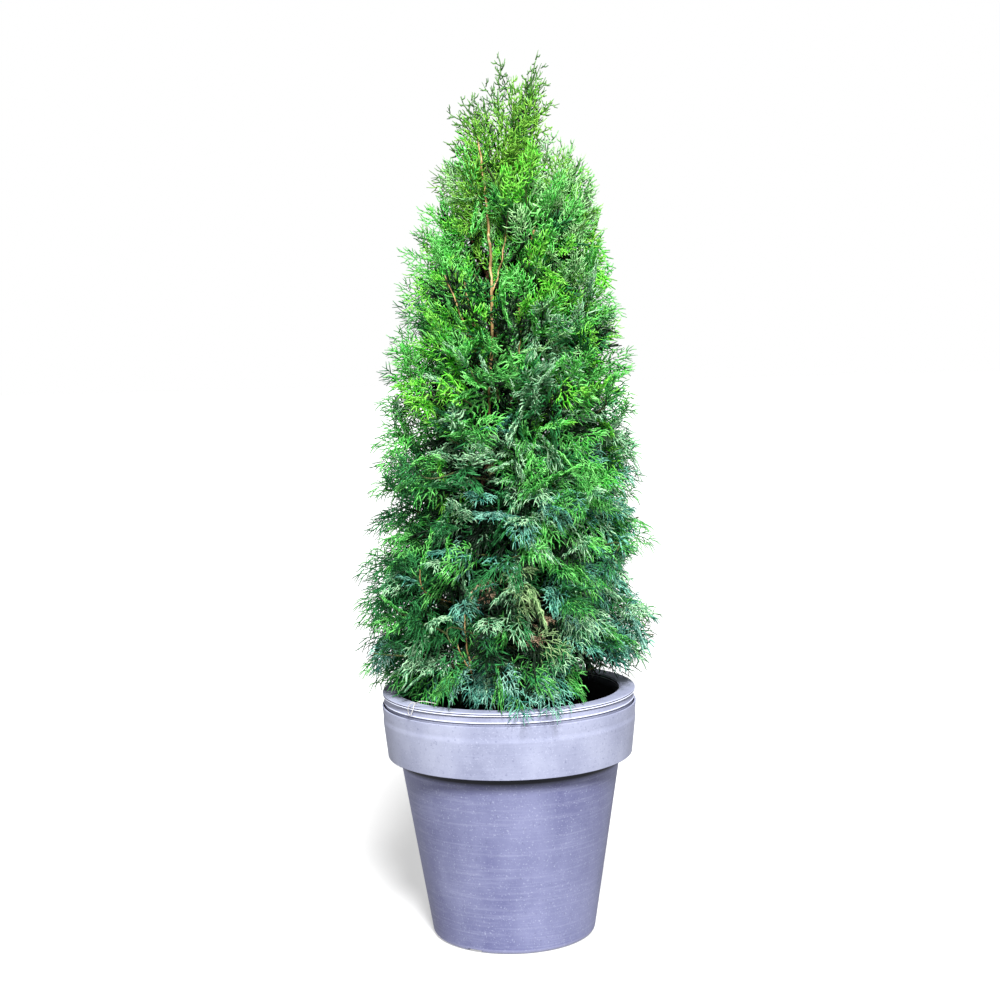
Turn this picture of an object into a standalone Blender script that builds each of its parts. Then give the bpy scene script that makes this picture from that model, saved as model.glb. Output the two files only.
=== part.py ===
"""Potted emerald green arborvitae: a columnar evergreen in a plastic pot with its liner.

Metres, +Z up. The origin is the middle of the pot's flat underside, and the front faces -Y.
The pot, its liner and the soil are turned solids. One trunk runs up through the crown.
Boughs leave it in tiers, each rising between the boughs of the tier below, and each ends in
a mass of foliage: a stem, three-sided twigs and toothed fan-shaped sprays round a small core.
"""

import math
import random

import bmesh
import bpy
from mathutils import Matrix, Quaternion, Vector
from mathutils.bvhtree import BVHTree

# Outer pot
COLLAR_TOP_RADIUS = 0.150
COLLAR_LOW_RADIUS = 0.144
COLLAR_TOP = 0.2757
COLLAR_LOW = 0.2145
BODY_TOP_RADIUS = 0.1302
BASE_RADIUS = 0.0958
POT_WALL = 0.003
COLLAR_LIP = 0.0025
COLLAR_EDGE = 0.0012
LEDGE = COLLAR_LOW + POT_WALL
FLOOR_UNDER = 0.0045
FLOOR_TOP = FLOOR_UNDER + POT_WALL
FOOT_BEND_HEIGHT = 0.004
FOOT_EDGE = 0.0012
FOOT_INSET = 0.0035
FOOT_RING_WIDTH = 0.007
FOOT_DRAFT = 0.001
MIDDLE_FOOT_RADIUS = 0.020
TURNED_SIDES = 32

# Drains: each is a notch in the foot ring and a hole through the floor behind it
DRAIN_COUNT = 3
DRAIN_NOTCH_WIDTH = 0.018
DRAIN_NOTCH_HEIGHT = 0.003
DRAIN_NOTCH_LENGTH = 0.030
DRAIN_NOTCH_INSET = 0.003
DRAIN_HOLE_RADIUS = 0.006
DRAIN_HOLE_SIDES = 8
DRAIN_HOLE_DEPTH = 0.02
DRAIN_HOLE_FROM_MIDDLE = 0.060
FIRST_NOTCH_ANGLE = math.radians(-119.4)

# Liner pot, which stands inside the outer pot with its rolled rim above the collar
LINER_RIM_TOP = 0.2912
LINER_RIM_RADIUS = 0.1486
LINER_MOUTH_RADIUS = 0.1302
LINER_WALL = 0.002
LINER_GAP = 0.0015
LINER_FLOOR = 0.0025
MOUTH_CHAMFER = 0.0011
RIM_THICKNESS = 0.0027
SKIRT_THICKNESS = 0.0018
SKIRT_LOW = 0.264
# The rim's outer side from its top edge to its last bead: (in from the rim's radius, down from its top)
RIM_OUTLINE = (
    (0.0008, 0.0),
    (0.0, 0.0008),
    (0.0012, 0.0021),
    (0.0002, 0.0034),
    (0.0020, 0.0048),
    (0.0024, 0.0105),
    (0.0014, 0.0117),
    (0.0026, 0.0129),
)
SKIRT_INSET = 0.0036

# Soil
SOIL_TOP = 0.246
SOIL_GAP = 0.0005
SOIL_FLAT_RADIUS = 0.034
SOIL_DIP_RADIUS = 0.085
SOIL_DIP = 0.004
SOIL_EDGE_DROP = 0.001

# Meshes hold 32-bit numbers, so pieces that meet keep this gap
TOUCH_GAP = 0.0003
LIMB_GAP = 1.2 * TOUCH_GAP
# Points nearer than this are one
WELD = 0.00001
# Edges turned more than this stay sharp on a smooth limb
SHARP_ANGLE = math.radians(50)

# Trunk
TRUNK_FOOT = SOIL_TOP + TOUCH_GAP
TRUNK_TIP = 0.935
TRUNK_FOOT_RADIUS = 0.0115
TRUNK_TIP_RADIUS = 0.0016
ROOT_FLARE = 0.006
ROOT_FLARE_HEIGHT = 0.016
ROOT_FLARE_STEPS = (0, 0.4, 1.0, 2.0)
TRUNK_TAPER = 0.85
TRUNK_SWAY = 0.016
TRUNK_SWAY_SPAN = 0.75
TRUNK_LEAN = 0.012
TRUNK_DEPTH_SWAY = 0.005
TRUNK_POINTS = 18
TRUNK_SIDES = 8

# Crown: half width at each height, about a middle line that leans a little to the right
CROWN_PROFILE = (
    (0.285, 0.150),
    (0.330, 0.163),
    (0.380, 0.174),
    (0.450, 0.163),
    (0.600, 0.148),
    (0.690, 0.138),
    (0.740, 0.122),
    (0.800, 0.110),
    (0.860, 0.098),
    (0.910, 0.084),
    (0.960, 0.060),
    (1.022, 0.034),
)
CROWN_LEAN = 0.024
CROWN_LEAN_FROM = 0.35
CROWN_TOP = 1.020
TRUNK_LINE_TOP = 1.000

# Boughs
BOUGH_POINTS = 5
BOUGH_SIDES = 6
BOUGH_SHARE_OF_TRUNK = 0.46
BOUGH_TIP_RADIUS = 0.0017
BOUGH_MOST_RADIUS = 0.0042
BOUGH_KNEE_OUT = 0.34
BOUGH_KNEE_UP = 0.30
BOUGH_TIP_INSIDE = 0.42
BOUGH_TIP_BELOW = 0.42
LEADER_TIP_INSIDE = 0.25
LEADER_TIP_STEP = 0.01
LIMB_CLEARANCE = 0.0012

# Tiers: every other bough of a tier ends this much higher or lower, with a little chance added
UNEVEN_TIER = 0.018
HEIGHT_CHANCE = 0.004
AZIMUTH_CHANCE = 3

# The space of each mass
SPACE_SQUASH = 0.62
SPACE_MARGIN = 0.0006
OUTLINE_SLACK = 0.008
PLUME_SLACK = 1.15
ABOVE_SOIL = 0.002
RIM_CLEAR_Z = LINER_RIM_TOP + 0.0015
INSIDE_MOUTH_RADIUS = 0.122

# Stems and twigs
STEM_SHARE = 0.9
STEM_TAPER = 0.8
STEM_SIDES = 6
TWIG_SIDES = 3
TWIG_ROOT_RADIUS = 0.0019
TWIG_TIP_RADIUS = 0.0011
STALK = 0.007
STALK_SINK = 0.015
STALK_INTO_SPRAY = 0.2 * STALK

# Cores
CORE_INSET = 0.048
CORE_ROUGHNESS = 0.06
CORE_STEP = 0.02
CORE_LEAST_SHARE = 0.1

# Sprays on a core: how far each leans from straight up to its mass's outward side and its own side
SPRAYS_A_MASS = 14
INNER_SIDE = -0.25
LEAN_OUTWARD = 0.7
LEAN_ASIDE = 0.5
SPRAY_ROLL = 0.6

# Sprays and twigs of a plume
PLUME_HABIT = 1.5
TWIGS_A_PLUME = 5
PLUME_UNDERSIDE = -0.5
FORK_MIDDLE = 0.5
FORK_SPREAD = 0.45
TWIG_REACH = 0.25
TWIG_STANDS_OUT = 0.016
TWIG_INTO_SPRAY = 0.002
SIDE_SPRAYS = ((0.25, -1), (0.60, 1))
SIDE_SPRAY_TURN = math.radians(42)

# The blade of a spray
SPRAY_TEETH = 4
SPRAY_FAN = math.radians(58)
SPRAY_HUB = 0.30
SPRAY_SIDE_REACH = 0.62
SPRAY_VALLEY = 0.55
SPRAY_TOOTH_LEAST = 0.90
SPRAY_THICKNESS = 0.05
SPRAY_LENGTH_CHANCE = 0.1
SPRAY_SHARES = (1.0, 0.9, 0.8, 0.7, 0.6)

SEED = 20

# Each tier: name, number of masses, height of their middles, first azimuth in degrees, how far below
# the middle its boughs leave the trunk, the masses' half depth, half width and half height, the
# length of a spray, and the habit, how much its sprays rise for each step out
TIERS = (
    ("skirt", 6, 0.352, -80, 0.068, 0.084, 0.090, 0.110, 0.072, -0.9),
    ("lower", 6, 0.478, -110, 0.165, 0.080, 0.088, 0.120, 0.070, -0.6),
    ("middle", 5, 0.606, -60, 0.150, 0.078, 0.090, 0.120, 0.068, 0.8),
    ("upper", 4, 0.730, -42, 0.135, 0.068, 0.088, 0.115, 0.064, 1.4),
    ("shoulder", 3, 0.832, -22, 0.125, 0.056, 0.078, 0.100, 0.058, 1.8),
)
# Plumes at the top: name, middle, half width, half height, length of a spray, height at which the
# bough leaves the trunk, or None where the stem meets the trunk's own tip
PLUMES = (
    ("left_leader", (-0.032, -0.006, 0.912), 0.032, 0.044, 0.044, 0.762),
    ("back_leader", (0.044, 0.026, 0.908), 0.032, 0.044, 0.044, 0.765),
    ("main_leader", (0.022, -0.002, 0.970), 0.040, 0.048, 0.048, None),
)


def clear_scene():
    for obj in list(bpy.data.objects):
        bpy.data.objects.remove(obj, do_unlink=True)


def new_collection(name, hidden=False):
    made = bpy.data.collections.new(name)
    made.hide_render = hidden
    bpy.context.scene.collection.children.link(made)
    return made


def new_material(name, colour, roughness):
    """A Principled material of one sRGB hex colour."""
    material = bpy.data.materials.new(name)
    material.use_nodes = True
    shader = material.node_tree.nodes["Principled BSDF"]
    parts = [int(colour[k : k + 2], 16) / 255 for k in (1, 3, 5)]
    linear = [((c + 0.055) / 1.055) ** 2.4 if c > 0.04045 else c / 12.92 for c in parts]
    shader.inputs["Base Color"].default_value = (*linear, 1.0)
    shader.inputs["Roughness"].default_value = roughness
    material.diffuse_color = (*linear, 1.0)
    return material


def add_object(name, mesh, collection, material=None):
    obj = bpy.data.objects.new(name, mesh)
    collection.objects.link(obj)
    if material:
        mesh.materials.clear()
        mesh.materials.append(material)
    return obj


def mesh_from(bm, name):
    mesh = bpy.data.meshes.new(name)
    bm.to_mesh(mesh)
    bm.free()
    return mesh


def between(low, high, share):
    return low + (high - low) * share


def read_profile(profile, at):
    """The value of a list of (place, value) pairs at a place, in straight lines between them."""
    if at <= profile[0][0]:
        return profile[0][1]
    for (z0, v0), (z1, v1) in zip(profile, profile[1:]):
        if at <= z1:
            return between(v0, v1, (at - z0) / (z1 - z0))
    return profile[-1][1]


# Pot, liner and soil


def turned(name, profile, collection, material):
    """A turned solid: the profile's (radius, height) points from its inside out and down its outer side."""
    bm = bmesh.new()
    verts = [bm.verts.new((r, 0, z)) for r, z in profile]
    for a, b in zip(verts, verts[1:]):
        bm.edges.new((a, b))
    obj = add_object(name, mesh_from(bm, name), collection, material)
    screw = obj.modifiers.new("Turn", "SCREW")
    screw.axis = "Z"
    screw.angle = math.tau
    screw.steps = screw.render_steps = TURNED_SIDES
    screw.use_merge_vertices = True
    screw.merge_threshold = WELD
    return obj


def body_radius(z):
    """Outer radius of the outer pot's tapered body."""
    return between(BASE_RADIUS, BODY_TOP_RADIUS, z / COLLAR_LOW)


def outer_pot_profile():
    foot_in = BASE_RADIUS - FOOT_INSET - FOOT_RING_WIDTH
    return (
        (0, FLOOR_TOP),
        (body_radius(FLOOR_TOP) - POT_WALL, FLOOR_TOP),
        (BODY_TOP_RADIUS - POT_WALL, LEDGE),
        (COLLAR_LOW_RADIUS - POT_WALL, LEDGE),
        (COLLAR_TOP_RADIUS - COLLAR_LIP, COLLAR_TOP),
        (COLLAR_TOP_RADIUS - COLLAR_EDGE / 2, COLLAR_TOP),
        (COLLAR_TOP_RADIUS, COLLAR_TOP - COLLAR_EDGE),
        (COLLAR_LOW_RADIUS, COLLAR_LOW + COLLAR_EDGE),
        (COLLAR_LOW_RADIUS - COLLAR_EDGE, COLLAR_LOW),
        (BODY_TOP_RADIUS, COLLAR_LOW),
        (body_radius(FOOT_BEND_HEIGHT), FOOT_BEND_HEIGHT),
        (BASE_RADIUS - FOOT_EDGE, FOOT_EDGE),
        (BASE_RADIUS - FOOT_INSET, 0),
        (foot_in, 0),
        (foot_in - FOOT_DRAFT, FLOOR_UNDER),
        (MIDDLE_FOOT_RADIUS + FOOT_DRAFT, FLOOR_UNDER),
        (MIDDLE_FOOT_RADIUS, 0),
        (0, 0),
    )


def liner_inner_radius(z):
    """Inner radius of the liner's wall: it follows the pot's taper, then opens to its mouth."""
    inset = POT_WALL + LINER_GAP + LINER_WALL
    low = body_radius(FLOOR_TOP) - inset
    bend = BODY_TOP_RADIUS - inset
    return read_profile(((FLOOR_TOP, low), (LEDGE, bend), (LINER_RIM_TOP, LINER_MOUTH_RADIUS)), z)


def liner_profile():
    foot = FLOOR_TOP + TOUCH_GAP
    floor_top = foot + LINER_FLOOR
    skirt = LINER_RIM_RADIUS - SKIRT_INSET
    under = LINER_RIM_TOP - RIM_THICKNESS
    rim = [(LINER_RIM_RADIUS - inwards, LINER_RIM_TOP - down) for inwards, down in RIM_OUTLINE]
    return (
        (0, floor_top),
        (liner_inner_radius(floor_top), floor_top),
        (liner_inner_radius(LEDGE), LEDGE),
        (LINER_MOUTH_RADIUS, LINER_RIM_TOP - MOUTH_CHAMFER),
        (LINER_MOUTH_RADIUS + MOUTH_CHAMFER, LINER_RIM_TOP),
        *rim,
        (skirt, SKIRT_LOW),
        (skirt - SKIRT_THICKNESS, SKIRT_LOW),
        (skirt - SKIRT_THICKNESS / 2, under - LINER_WALL),
        (LINER_MOUTH_RADIUS + LINER_WALL + MOUTH_CHAMFER, under),
        (liner_inner_radius(LEDGE) + LINER_WALL, LEDGE),
        (liner_inner_radius(foot) + LINER_WALL, foot),
        (0, foot),
    )


def soil_profile():
    low = FLOOR_TOP + LINER_FLOOR + 2 * TOUCH_GAP
    return (
        (0, SOIL_TOP),
        (SOIL_FLAT_RADIUS, SOIL_TOP),
        (SOIL_DIP_RADIUS, SOIL_TOP - SOIL_DIP),
        (liner_inner_radius(SOIL_TOP) - SOIL_GAP, SOIL_TOP - SOIL_EDGE_DROP),
        (liner_inner_radius(LEDGE) - SOIL_GAP, LEDGE),
        (liner_inner_radius(low) - SOIL_GAP, low),
        (0, low),
    )


def make_helper(obj):
    obj.hide_render = True
    obj.display_type = "WIRE"
    return obj


def add_cut(target, cutter, name):
    cut = target.modifiers.new(name, "BOOLEAN")
    cut.operation = "DIFFERENCE"
    cut.object = cutter


def drain_cutters(cutters):
    """A block across the foot ring and a round hole through the floor behind it, for each drain."""
    made = []
    for k in range(DRAIN_COUNT):
        angle = FIRST_NOTCH_ANGLE + k * math.tau / DRAIN_COUNT
        bm = bmesh.new()
        bmesh.ops.create_cube(bm, size=1)
        size = (DRAIN_NOTCH_LENGTH, DRAIN_NOTCH_WIDTH, 2 * DRAIN_NOTCH_HEIGHT)
        bmesh.ops.scale(bm, vec=size, verts=bm.verts)
        bmesh.ops.translate(bm, vec=(BASE_RADIUS - DRAIN_NOTCH_INSET, 0, 0), verts=bm.verts)
        notch = add_object(f"notch_cutter_{k + 1}", mesh_from(bm, "notch"), cutters)
        bm = bmesh.new()
        bmesh.ops.create_cone(
            bm,
            cap_ends=True,
            segments=DRAIN_HOLE_SIDES,
            radius1=DRAIN_HOLE_RADIUS,
            radius2=DRAIN_HOLE_RADIUS,
            depth=DRAIN_HOLE_DEPTH,
        )
        bmesh.ops.translate(bm, vec=(DRAIN_HOLE_FROM_MIDDLE, 0, FLOOR_TOP), verts=bm.verts)
        hole = add_object(f"drain_cutter_{k + 1}", mesh_from(bm, "drain"), cutters)
        for cutter in (notch, hole):
            cutter.rotation_euler.z = angle
            made.append(make_helper(cutter))
    return made


def build_pot(parts, cutters, looks):
    pot = turned("outer_pot", outer_pot_profile(), parts, looks["pot"])
    for cutter in drain_cutters(cutters):
        add_cut(pot, cutter, cutter.name)
    turned("liner_pot", liner_profile(), parts, looks["pot"])
    turned("potting_soil", soil_profile(), parts, looks["soil"])


# Trunk and boughs


def trunk_centre(z):
    """The trunk's middle line: a slow sway, and a lean to the right at the tip."""
    s = (z - TRUNK_FOOT) / (TRUNK_LINE_TOP - TRUNK_FOOT)
    x = -TRUNK_SWAY * math.sin(math.pi * s / TRUNK_SWAY_SPAN) + TRUNK_LEAN * s**4
    y = TRUNK_DEPTH_SWAY * math.sin(math.tau * s)
    return Vector((x, y, z))


def trunk_radius(z):
    s = (z - TRUNK_FOOT) / (TRUNK_TIP - TRUNK_FOOT)
    flare = ROOT_FLARE * math.exp(-(z - TRUNK_FOOT) / ROOT_FLARE_HEIGHT)
    return between(TRUNK_FOOT_RADIUS, TRUNK_TIP_RADIUS, s**TRUNK_TAPER) + flare


def limb(name, points, radii, sides, collection, material=None):
    """A tapered limb: a curve with a bevel, made a mesh, with its caps welded."""
    curve = bpy.data.curves.new(name, "CURVE")
    curve.dimensions = "3D"
    curve.bevel_depth = 1.0
    curve.bevel_resolution = (sides - 4) // 2
    curve.use_fill_caps = True
    spline = curve.splines.new("POLY")
    spline.points.add(len(points) - 1)
    for place, point, radius in zip(spline.points, points, radii):
        place.co = (*point, 1.0)
        place.radius = radius
    guide = bpy.data.objects.new(name + "_guide", curve)
    collection.objects.link(guide)
    bpy.context.view_layer.update()
    graph = bpy.context.evaluated_depsgraph_get()
    mesh = bpy.data.meshes.new_from_object(guide.evaluated_get(graph))
    bpy.data.objects.remove(guide, do_unlink=True)
    bpy.data.curves.remove(curve)
    bm = bmesh.new()
    bm.from_mesh(mesh)
    bmesh.ops.remove_doubles(bm, verts=bm.verts, dist=WELD)
    bmesh.ops.recalc_face_normals(bm, faces=bm.faces)
    bm.to_mesh(mesh)
    bm.free()
    mesh.name = name
    mesh.shade_smooth()
    mesh.set_sharp_from_angle(angle=SHARP_ANGLE)
    return add_object(name, mesh, collection, material)


def trunk_line():
    """Points and radii up the trunk, closer together over the root flare, with a level foot."""
    flare = [TRUNK_FOOT + ROOT_FLARE_HEIGHT * step for step in ROOT_FLARE_STEPS]
    rest = [between(flare[-1], TRUNK_TIP, (k + 1) / TRUNK_POINTS) for k in range(TRUNK_POINTS)]
    heights = flare + rest
    points = [trunk_centre(z) for z in heights]
    points[0].x, points[0].y = points[1].x, points[1].y
    return points, [trunk_radius(z) for z in heights]


def bough_line(leaves_at, tip, outward):
    """A bough's path: out from the trunk's middle, then turning upwards to its tip."""
    start = trunk_centre(leaves_at)
    reach = (tip - start).length
    knee = start + (outward * BOUGH_KNEE_OUT + Vector((0, 0, BOUGH_KNEE_UP))) * reach
    points = []
    for k in range(BOUGH_POINTS):
        t = k / (BOUGH_POINTS - 1)
        points.append(start * (1 - t) ** 2 + knee * (2 * t * (1 - t)) + tip * t**2)
    root = min(BOUGH_MOST_RADIUS, BOUGH_SHARE_OF_TRUNK * trunk_radius(leaves_at))
    radii = [between(root, BOUGH_TIP_RADIUS, k / (BOUGH_POINTS - 1)) for k in range(BOUGH_POINTS)]
    return points, radii


# The crown's plan


def crown_middle(z):
    lean = max(0.0, z - CROWN_LEAN_FROM) / (CROWN_TOP - CROWN_LEAN_FROM)
    return Vector((CROWN_LEAN * lean, 0, z))


def crown_plan(rng):
    """Every mass of foliage: its name, middle, outward direction, half sizes, habit and bough."""
    plan = []
    for name, count, height, first, rise, depth, width, tall, spray, habit in TIERS:
        for k in range(count):
            chance = rng.uniform(-AZIMUTH_CHANCE, AZIMUTH_CHANCE)
            azimuth = math.radians(first + 360 * k / count + chance)
            z = height + UNEVEN_TIER * (-1) ** k + rng.uniform(-HEIGHT_CHANCE, HEIGHT_CHANCE)
            outward = Vector((math.cos(azimuth), math.sin(azimuth), 0))
            middle = crown_middle(z) + outward * (read_profile(CROWN_PROFILE, z) - depth)
            plan.append(
                {
                    "name": f"{name}_{k + 1}",
                    "tier": name,
                    "middle": middle,
                    "outward": outward,
                    "half": (depth, width, tall),
                    "spray": spray,
                    "habit": habit,
                    "leaves_at": height - rise + rng.uniform(-HEIGHT_CHANCE, HEIGHT_CHANCE),
                }
            )
    for name, middle, width, tall, spray, leaves_at in PLUMES:
        middle = Vector(middle)
        outward = middle - trunk_centre(min(middle.z, TRUNK_TIP))
        outward.z = 0
        plan.append(
            {
                "name": name,
                "tier": "leader",
                "middle": middle,
                "outward": outward.normalized(),
                "half": (width, width, tall),
                "spray": spray,
                "habit": PLUME_HABIT,
                "leaves_at": leaves_at,
            }
        )
    return plan


def clearance(name, points, radii, sides, space):
    """A limb a little fatter and longer than it is: the space that no foliage enters."""
    tip = points[-1] + (points[-1] - points[-2]).normalized() * LIMB_CLEARANCE
    fatter = [r + LIMB_CLEARANCE for r in radii]
    return make_helper(limb(name, points[:-1] + [tip], fatter, sides, space))


def add_boughs(plan, trunk_cutter, parts, space, looks):
    """One bough for each mass that doesn't meet the trunk's tip, cut to sit on the trunk's bark."""
    for mass in plan:
        if mass["leaves_at"] is None:
            tip = trunk_centre(TRUNK_TIP)
            mass["stem_from"] = tip
            mass["stem_along"] = (tip - trunk_centre(TRUNK_TIP - LEADER_TIP_STEP)).normalized()
            continue
        depth, _, tall = mass["half"]
        inside = LEADER_TIP_INSIDE if mass["tier"] == "leader" else BOUGH_TIP_INSIDE
        below = Vector((0, 0, BOUGH_TIP_BELOW * tall))
        tip = mass["middle"] - mass["outward"] * (inside * depth) - below
        points, radii = bough_line(mass["leaves_at"], tip, mass["outward"])
        bough = limb("bough_" + mass["name"], points, radii, BOUGH_SIDES, parts, looks["bark"])
        add_cut(bough, trunk_cutter, "Seat on trunk")
        mass["stem_from"] = points[-1]
        mass["stem_along"] = (points[-1] - points[-2]).normalized()
        clearance("space_" + mass["name"], points, radii, BOUGH_SIDES, space)


# Foliage


def squashed(vector):
    """Heights count for less than widths, so that the spaces interlock as tall hexagons."""
    return Vector((vector.x, vector.y, vector.z * SPACE_SQUASH))


def in_space(point, mass, plan):
    """True where a point is nearer to this mass's middle than to any other's, and clear of the soil."""
    for other in plan:
        if other is mass:
            continue
        apart = squashed(other["middle"] - mass["middle"])
        past = squashed(point - (other["middle"] + mass["middle"]) / 2)
        if past.dot(apart) > -SPACE_MARGIN * apart.length:
            return False
    return point.z > SOIL_TOP + ABOVE_SOIL


def in_crown(point, slack):
    """True inside the crown's outline, or within the slack of it."""
    middle = crown_middle(point.z)
    reach = math.hypot(point.x - middle.x, point.y - middle.y)
    return point.z <= CROWN_TOP and reach <= read_profile(CROWN_PROFILE, point.z) + slack


def clear_of_pot(points):
    """A shape is either all above the rim or all inside the liner's mouth."""
    above = all(p.z > RIM_CLEAR_Z for p in points)
    inside = all(math.hypot(p.x, p.y) < INSIDE_MOUTH_RADIUS for p in points)
    return above or inside


def in_egg(point, mass):
    """True inside a plume's own egg, a little enlarged."""
    width, _, tall = mass["half"]
    away = point - mass["middle"]
    return math.hypot(away.x, away.y) ** 2 / width**2 + away.z**2 / tall**2 <= PLUME_SLACK**2


def fits(points, mass, plan, slack=OUTLINE_SLACK):
    if mass["tier"] == "leader":
        inside = all(in_egg(p, mass) for p in points)
    else:
        inside = all(in_crown(p, slack) for p in points)
    return inside and clear_of_pot(points) and all(in_space(p, mass, plan) for p in points)


def tree_of(bm):
    bm.normal_update()
    return BVHTree.FromBMesh(bm)


def limb_tree(space):
    """The surfaces of every limb's clearance, for telling what would enter one."""
    bm = bmesh.new()
    for fat_limb in space.objects:
        bm.from_mesh(fat_limb.data)
    tree = tree_of(bm)
    bm.free()
    return tree


def egg_arm(mass, way):
    """A direction on the unit sphere as an arm from the mass's middle to its egg's surface."""
    depth, width, tall = mass["half"]
    side = Vector((0, 0, 1)).cross(mass["outward"])
    return mass["outward"] * (way.x * depth) + side * (way.y * width) + Vector((0, 0, way.z * tall))


def core_mesh(mass, plan, rng):
    """A rough egg, with each point drawn in until it is inside the mass's space and the crown."""
    bm = bmesh.new()
    bmesh.ops.create_icosphere(bm, subdivisions=2, radius=1.0)
    for vert in bm.verts:
        arm = egg_arm(mass, vert.co)
        share = 1.0
        while share > CORE_LEAST_SHARE:
            if fits([mass["middle"] + arm * share], mass, plan, -CORE_INSET):
                break
            share -= CORE_STEP
        vert.co = mass["middle"] + arm * share * (1 - CORE_ROUGHNESS * rng.random())
    bmesh.ops.recalc_face_normals(bm, faces=bm.faces)
    return bm


def cone_between(start, end, radius_start, radius_end, sides):
    """A straight tapered twig as a closed cone with cut ends."""
    bm = bmesh.new()
    along = end - start
    bmesh.ops.create_cone(
        bm,
        cap_ends=True,
        segments=sides,
        radius1=radius_start,
        radius2=radius_end,
        depth=along.length,
    )
    place = Matrix.Translation((start + end) / 2) @ along.to_track_quat("Z", "Y").to_matrix().to_4x4()
    bmesh.ops.transform(bm, matrix=place, verts=bm.verts)
    return bm


def spray_blade(root, along, facing, length, rng):
    """A fan of shoots as one toothed blade, thick at its hub and thin at its teeth.

    The outline starts at the root, and its teeth spread from the hub, longest in the middle."""
    side = facing.cross(along).normalized()
    facing = along.cross(side).normalized()
    hub = root + along * (SPRAY_HUB * length)
    outline = [root]
    for k in range(2 * SPRAY_TEETH - 1):
        turn = between(-SPRAY_FAN, SPRAY_FAN, k / (2 * SPRAY_TEETH - 2))
        reach = (1 - SPRAY_HUB) * length * between(SPRAY_SIDE_REACH, 1.0, math.cos(turn) ** 2)
        reach *= SPRAY_VALLEY if k % 2 else rng.uniform(SPRAY_TOOTH_LEAST, 1.0)
        outline.append(hub + (along * math.cos(turn) + side * math.sin(turn)) * reach)
    half = SPRAY_THICKNESS * length / 2
    bm = bmesh.new()
    ring = [bm.verts.new(p) for p in outline]
    front = bm.verts.new(hub + facing * half)
    back = bm.verts.new(hub - facing * half)
    for a, b in zip(ring, ring[1:] + ring[:1]):
        bm.faces.new((a, b, front))
        bm.faces.new((b, a, back))
    bmesh.ops.recalc_face_normals(bm, faces=bm.faces)
    return bm


def even_ways(count, rng):
    """Directions spread evenly over a sphere, along a spiral."""
    golden = math.pi * (3 - math.sqrt(5))
    turn = rng.uniform(0, math.tau)
    for k in range(count):
        z = 1 - 2 * (k + 0.5) / count
        flat = math.sqrt(1 - z * z)
        yield Vector((flat * math.cos(turn + golden * k), flat * math.sin(turn + golden * k), z))


def is_free(bm, mass, plan, tree):
    return fits([v.co for v in bm.verts], mass, plan) and not tree.overlap(tree_of(bm))


def fitted_spray(mass, plan, tree, root, way, facing, rng):
    """The longest spray from this root that stays in the mass's space, or None."""
    length = mass["spray"] * rng.uniform(1 - SPRAY_LENGTH_CHANCE, 1 + SPRAY_LENGTH_CHANCE)
    for share in SPRAY_SHARES:
        blade = spray_blade(root, way, facing, length * share, rng)
        if is_free(blade, mass, plan, tree):
            return blade
        blade.free()
    return None


def grow_sprays(mass, plan, tree, core, rng):
    """Twigs that stand out of the core, each with a spray that faces outwards."""
    surface = tree_of(core)
    grown = []
    for around in even_ways(SPRAYS_A_MASS, rng):
        if around.x < INNER_SIDE:
            continue
        arm = egg_arm(mass, around).normalized()
        leaves_core = surface.ray_cast(mass["middle"], arm)[0]
        lean = mass["outward"] * LEAN_OUTWARD + arm * LEAN_ASIDE
        way = (lean + Vector((0, 0, mass["habit"]))).normalized()
        facing = way.cross(mass["outward"].cross(way)).normalized()
        facing = Quaternion(way, rng.uniform(-SPRAY_ROLL, SPRAY_ROLL)) @ facing
        root = leaves_core + way * STALK
        blade = fitted_spray(mass, plan, tree, root, way, facing, rng)
        low = leaves_core - arm * STALK_SINK
        high = root + way * STALK_INTO_SPRAY
        twig = cone_between(low, high, TWIG_ROOT_RADIUS, TWIG_TIP_RADIUS, TWIG_SIDES)
        if blade and is_free(twig, mass, plan, tree):
            grown += [blade, twig]
    return grown


def grow_plume(mass, plan, tree, low, high, rng):
    """Twigs that leave the stem on all sides, with a spray at the tip and one on each side."""
    grown = []
    for around in even_ways(TWIGS_A_PLUME, rng):
        if around.z < PLUME_UNDERSIDE:
            continue
        arm = egg_arm(mass, around)
        fork = low.lerp(high, FORK_MIDDLE + FORK_SPREAD * around.z)
        way = (arm.normalized() + Vector((0, 0, mass["habit"]))).normalized()
        tip = fork + arm * TWIG_REACH + way * TWIG_STANDS_OUT
        twig = cone_between(fork, tip, TWIG_ROOT_RADIUS, TWIG_TIP_RADIUS, TWIG_SIDES)
        if not is_free(twig, mass, plan, tree):
            twig.free()
            continue
        grown.append(twig)
        facing = Quaternion(way, rng.uniform(0, math.tau)) @ way.orthogonal().normalized()
        root = tip - way * TWIG_INTO_SPRAY
        blades = [fitted_spray(mass, plan, tree, root, way, facing, rng)]
        for place, hand in SIDE_SPRAYS:
            turned_way = Quaternion(facing, hand * SIDE_SPRAY_TURN) @ way
            root = fork.lerp(tip, place)
            blades.append(fitted_spray(mass, plan, tree, root, turned_way, facing, rng))
        grown += [blade for blade in blades if blade]
    return grown


def add_boolean(obj, name, operation, collection):
    """A Boolean on a whole collection, with the quick solver: the exact one takes minutes a mass."""
    made = obj.modifiers.new(name, "BOOLEAN")
    made.operation = operation
    made.operand_type = "COLLECTION"
    made.collection = collection
    made.solver = "MANIFOLD"


def remove_collection(collection):
    for obj in list(collection.objects):
        bpy.data.objects.remove(obj, do_unlink=True)
    bpy.data.collections.remove(collection)


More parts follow.
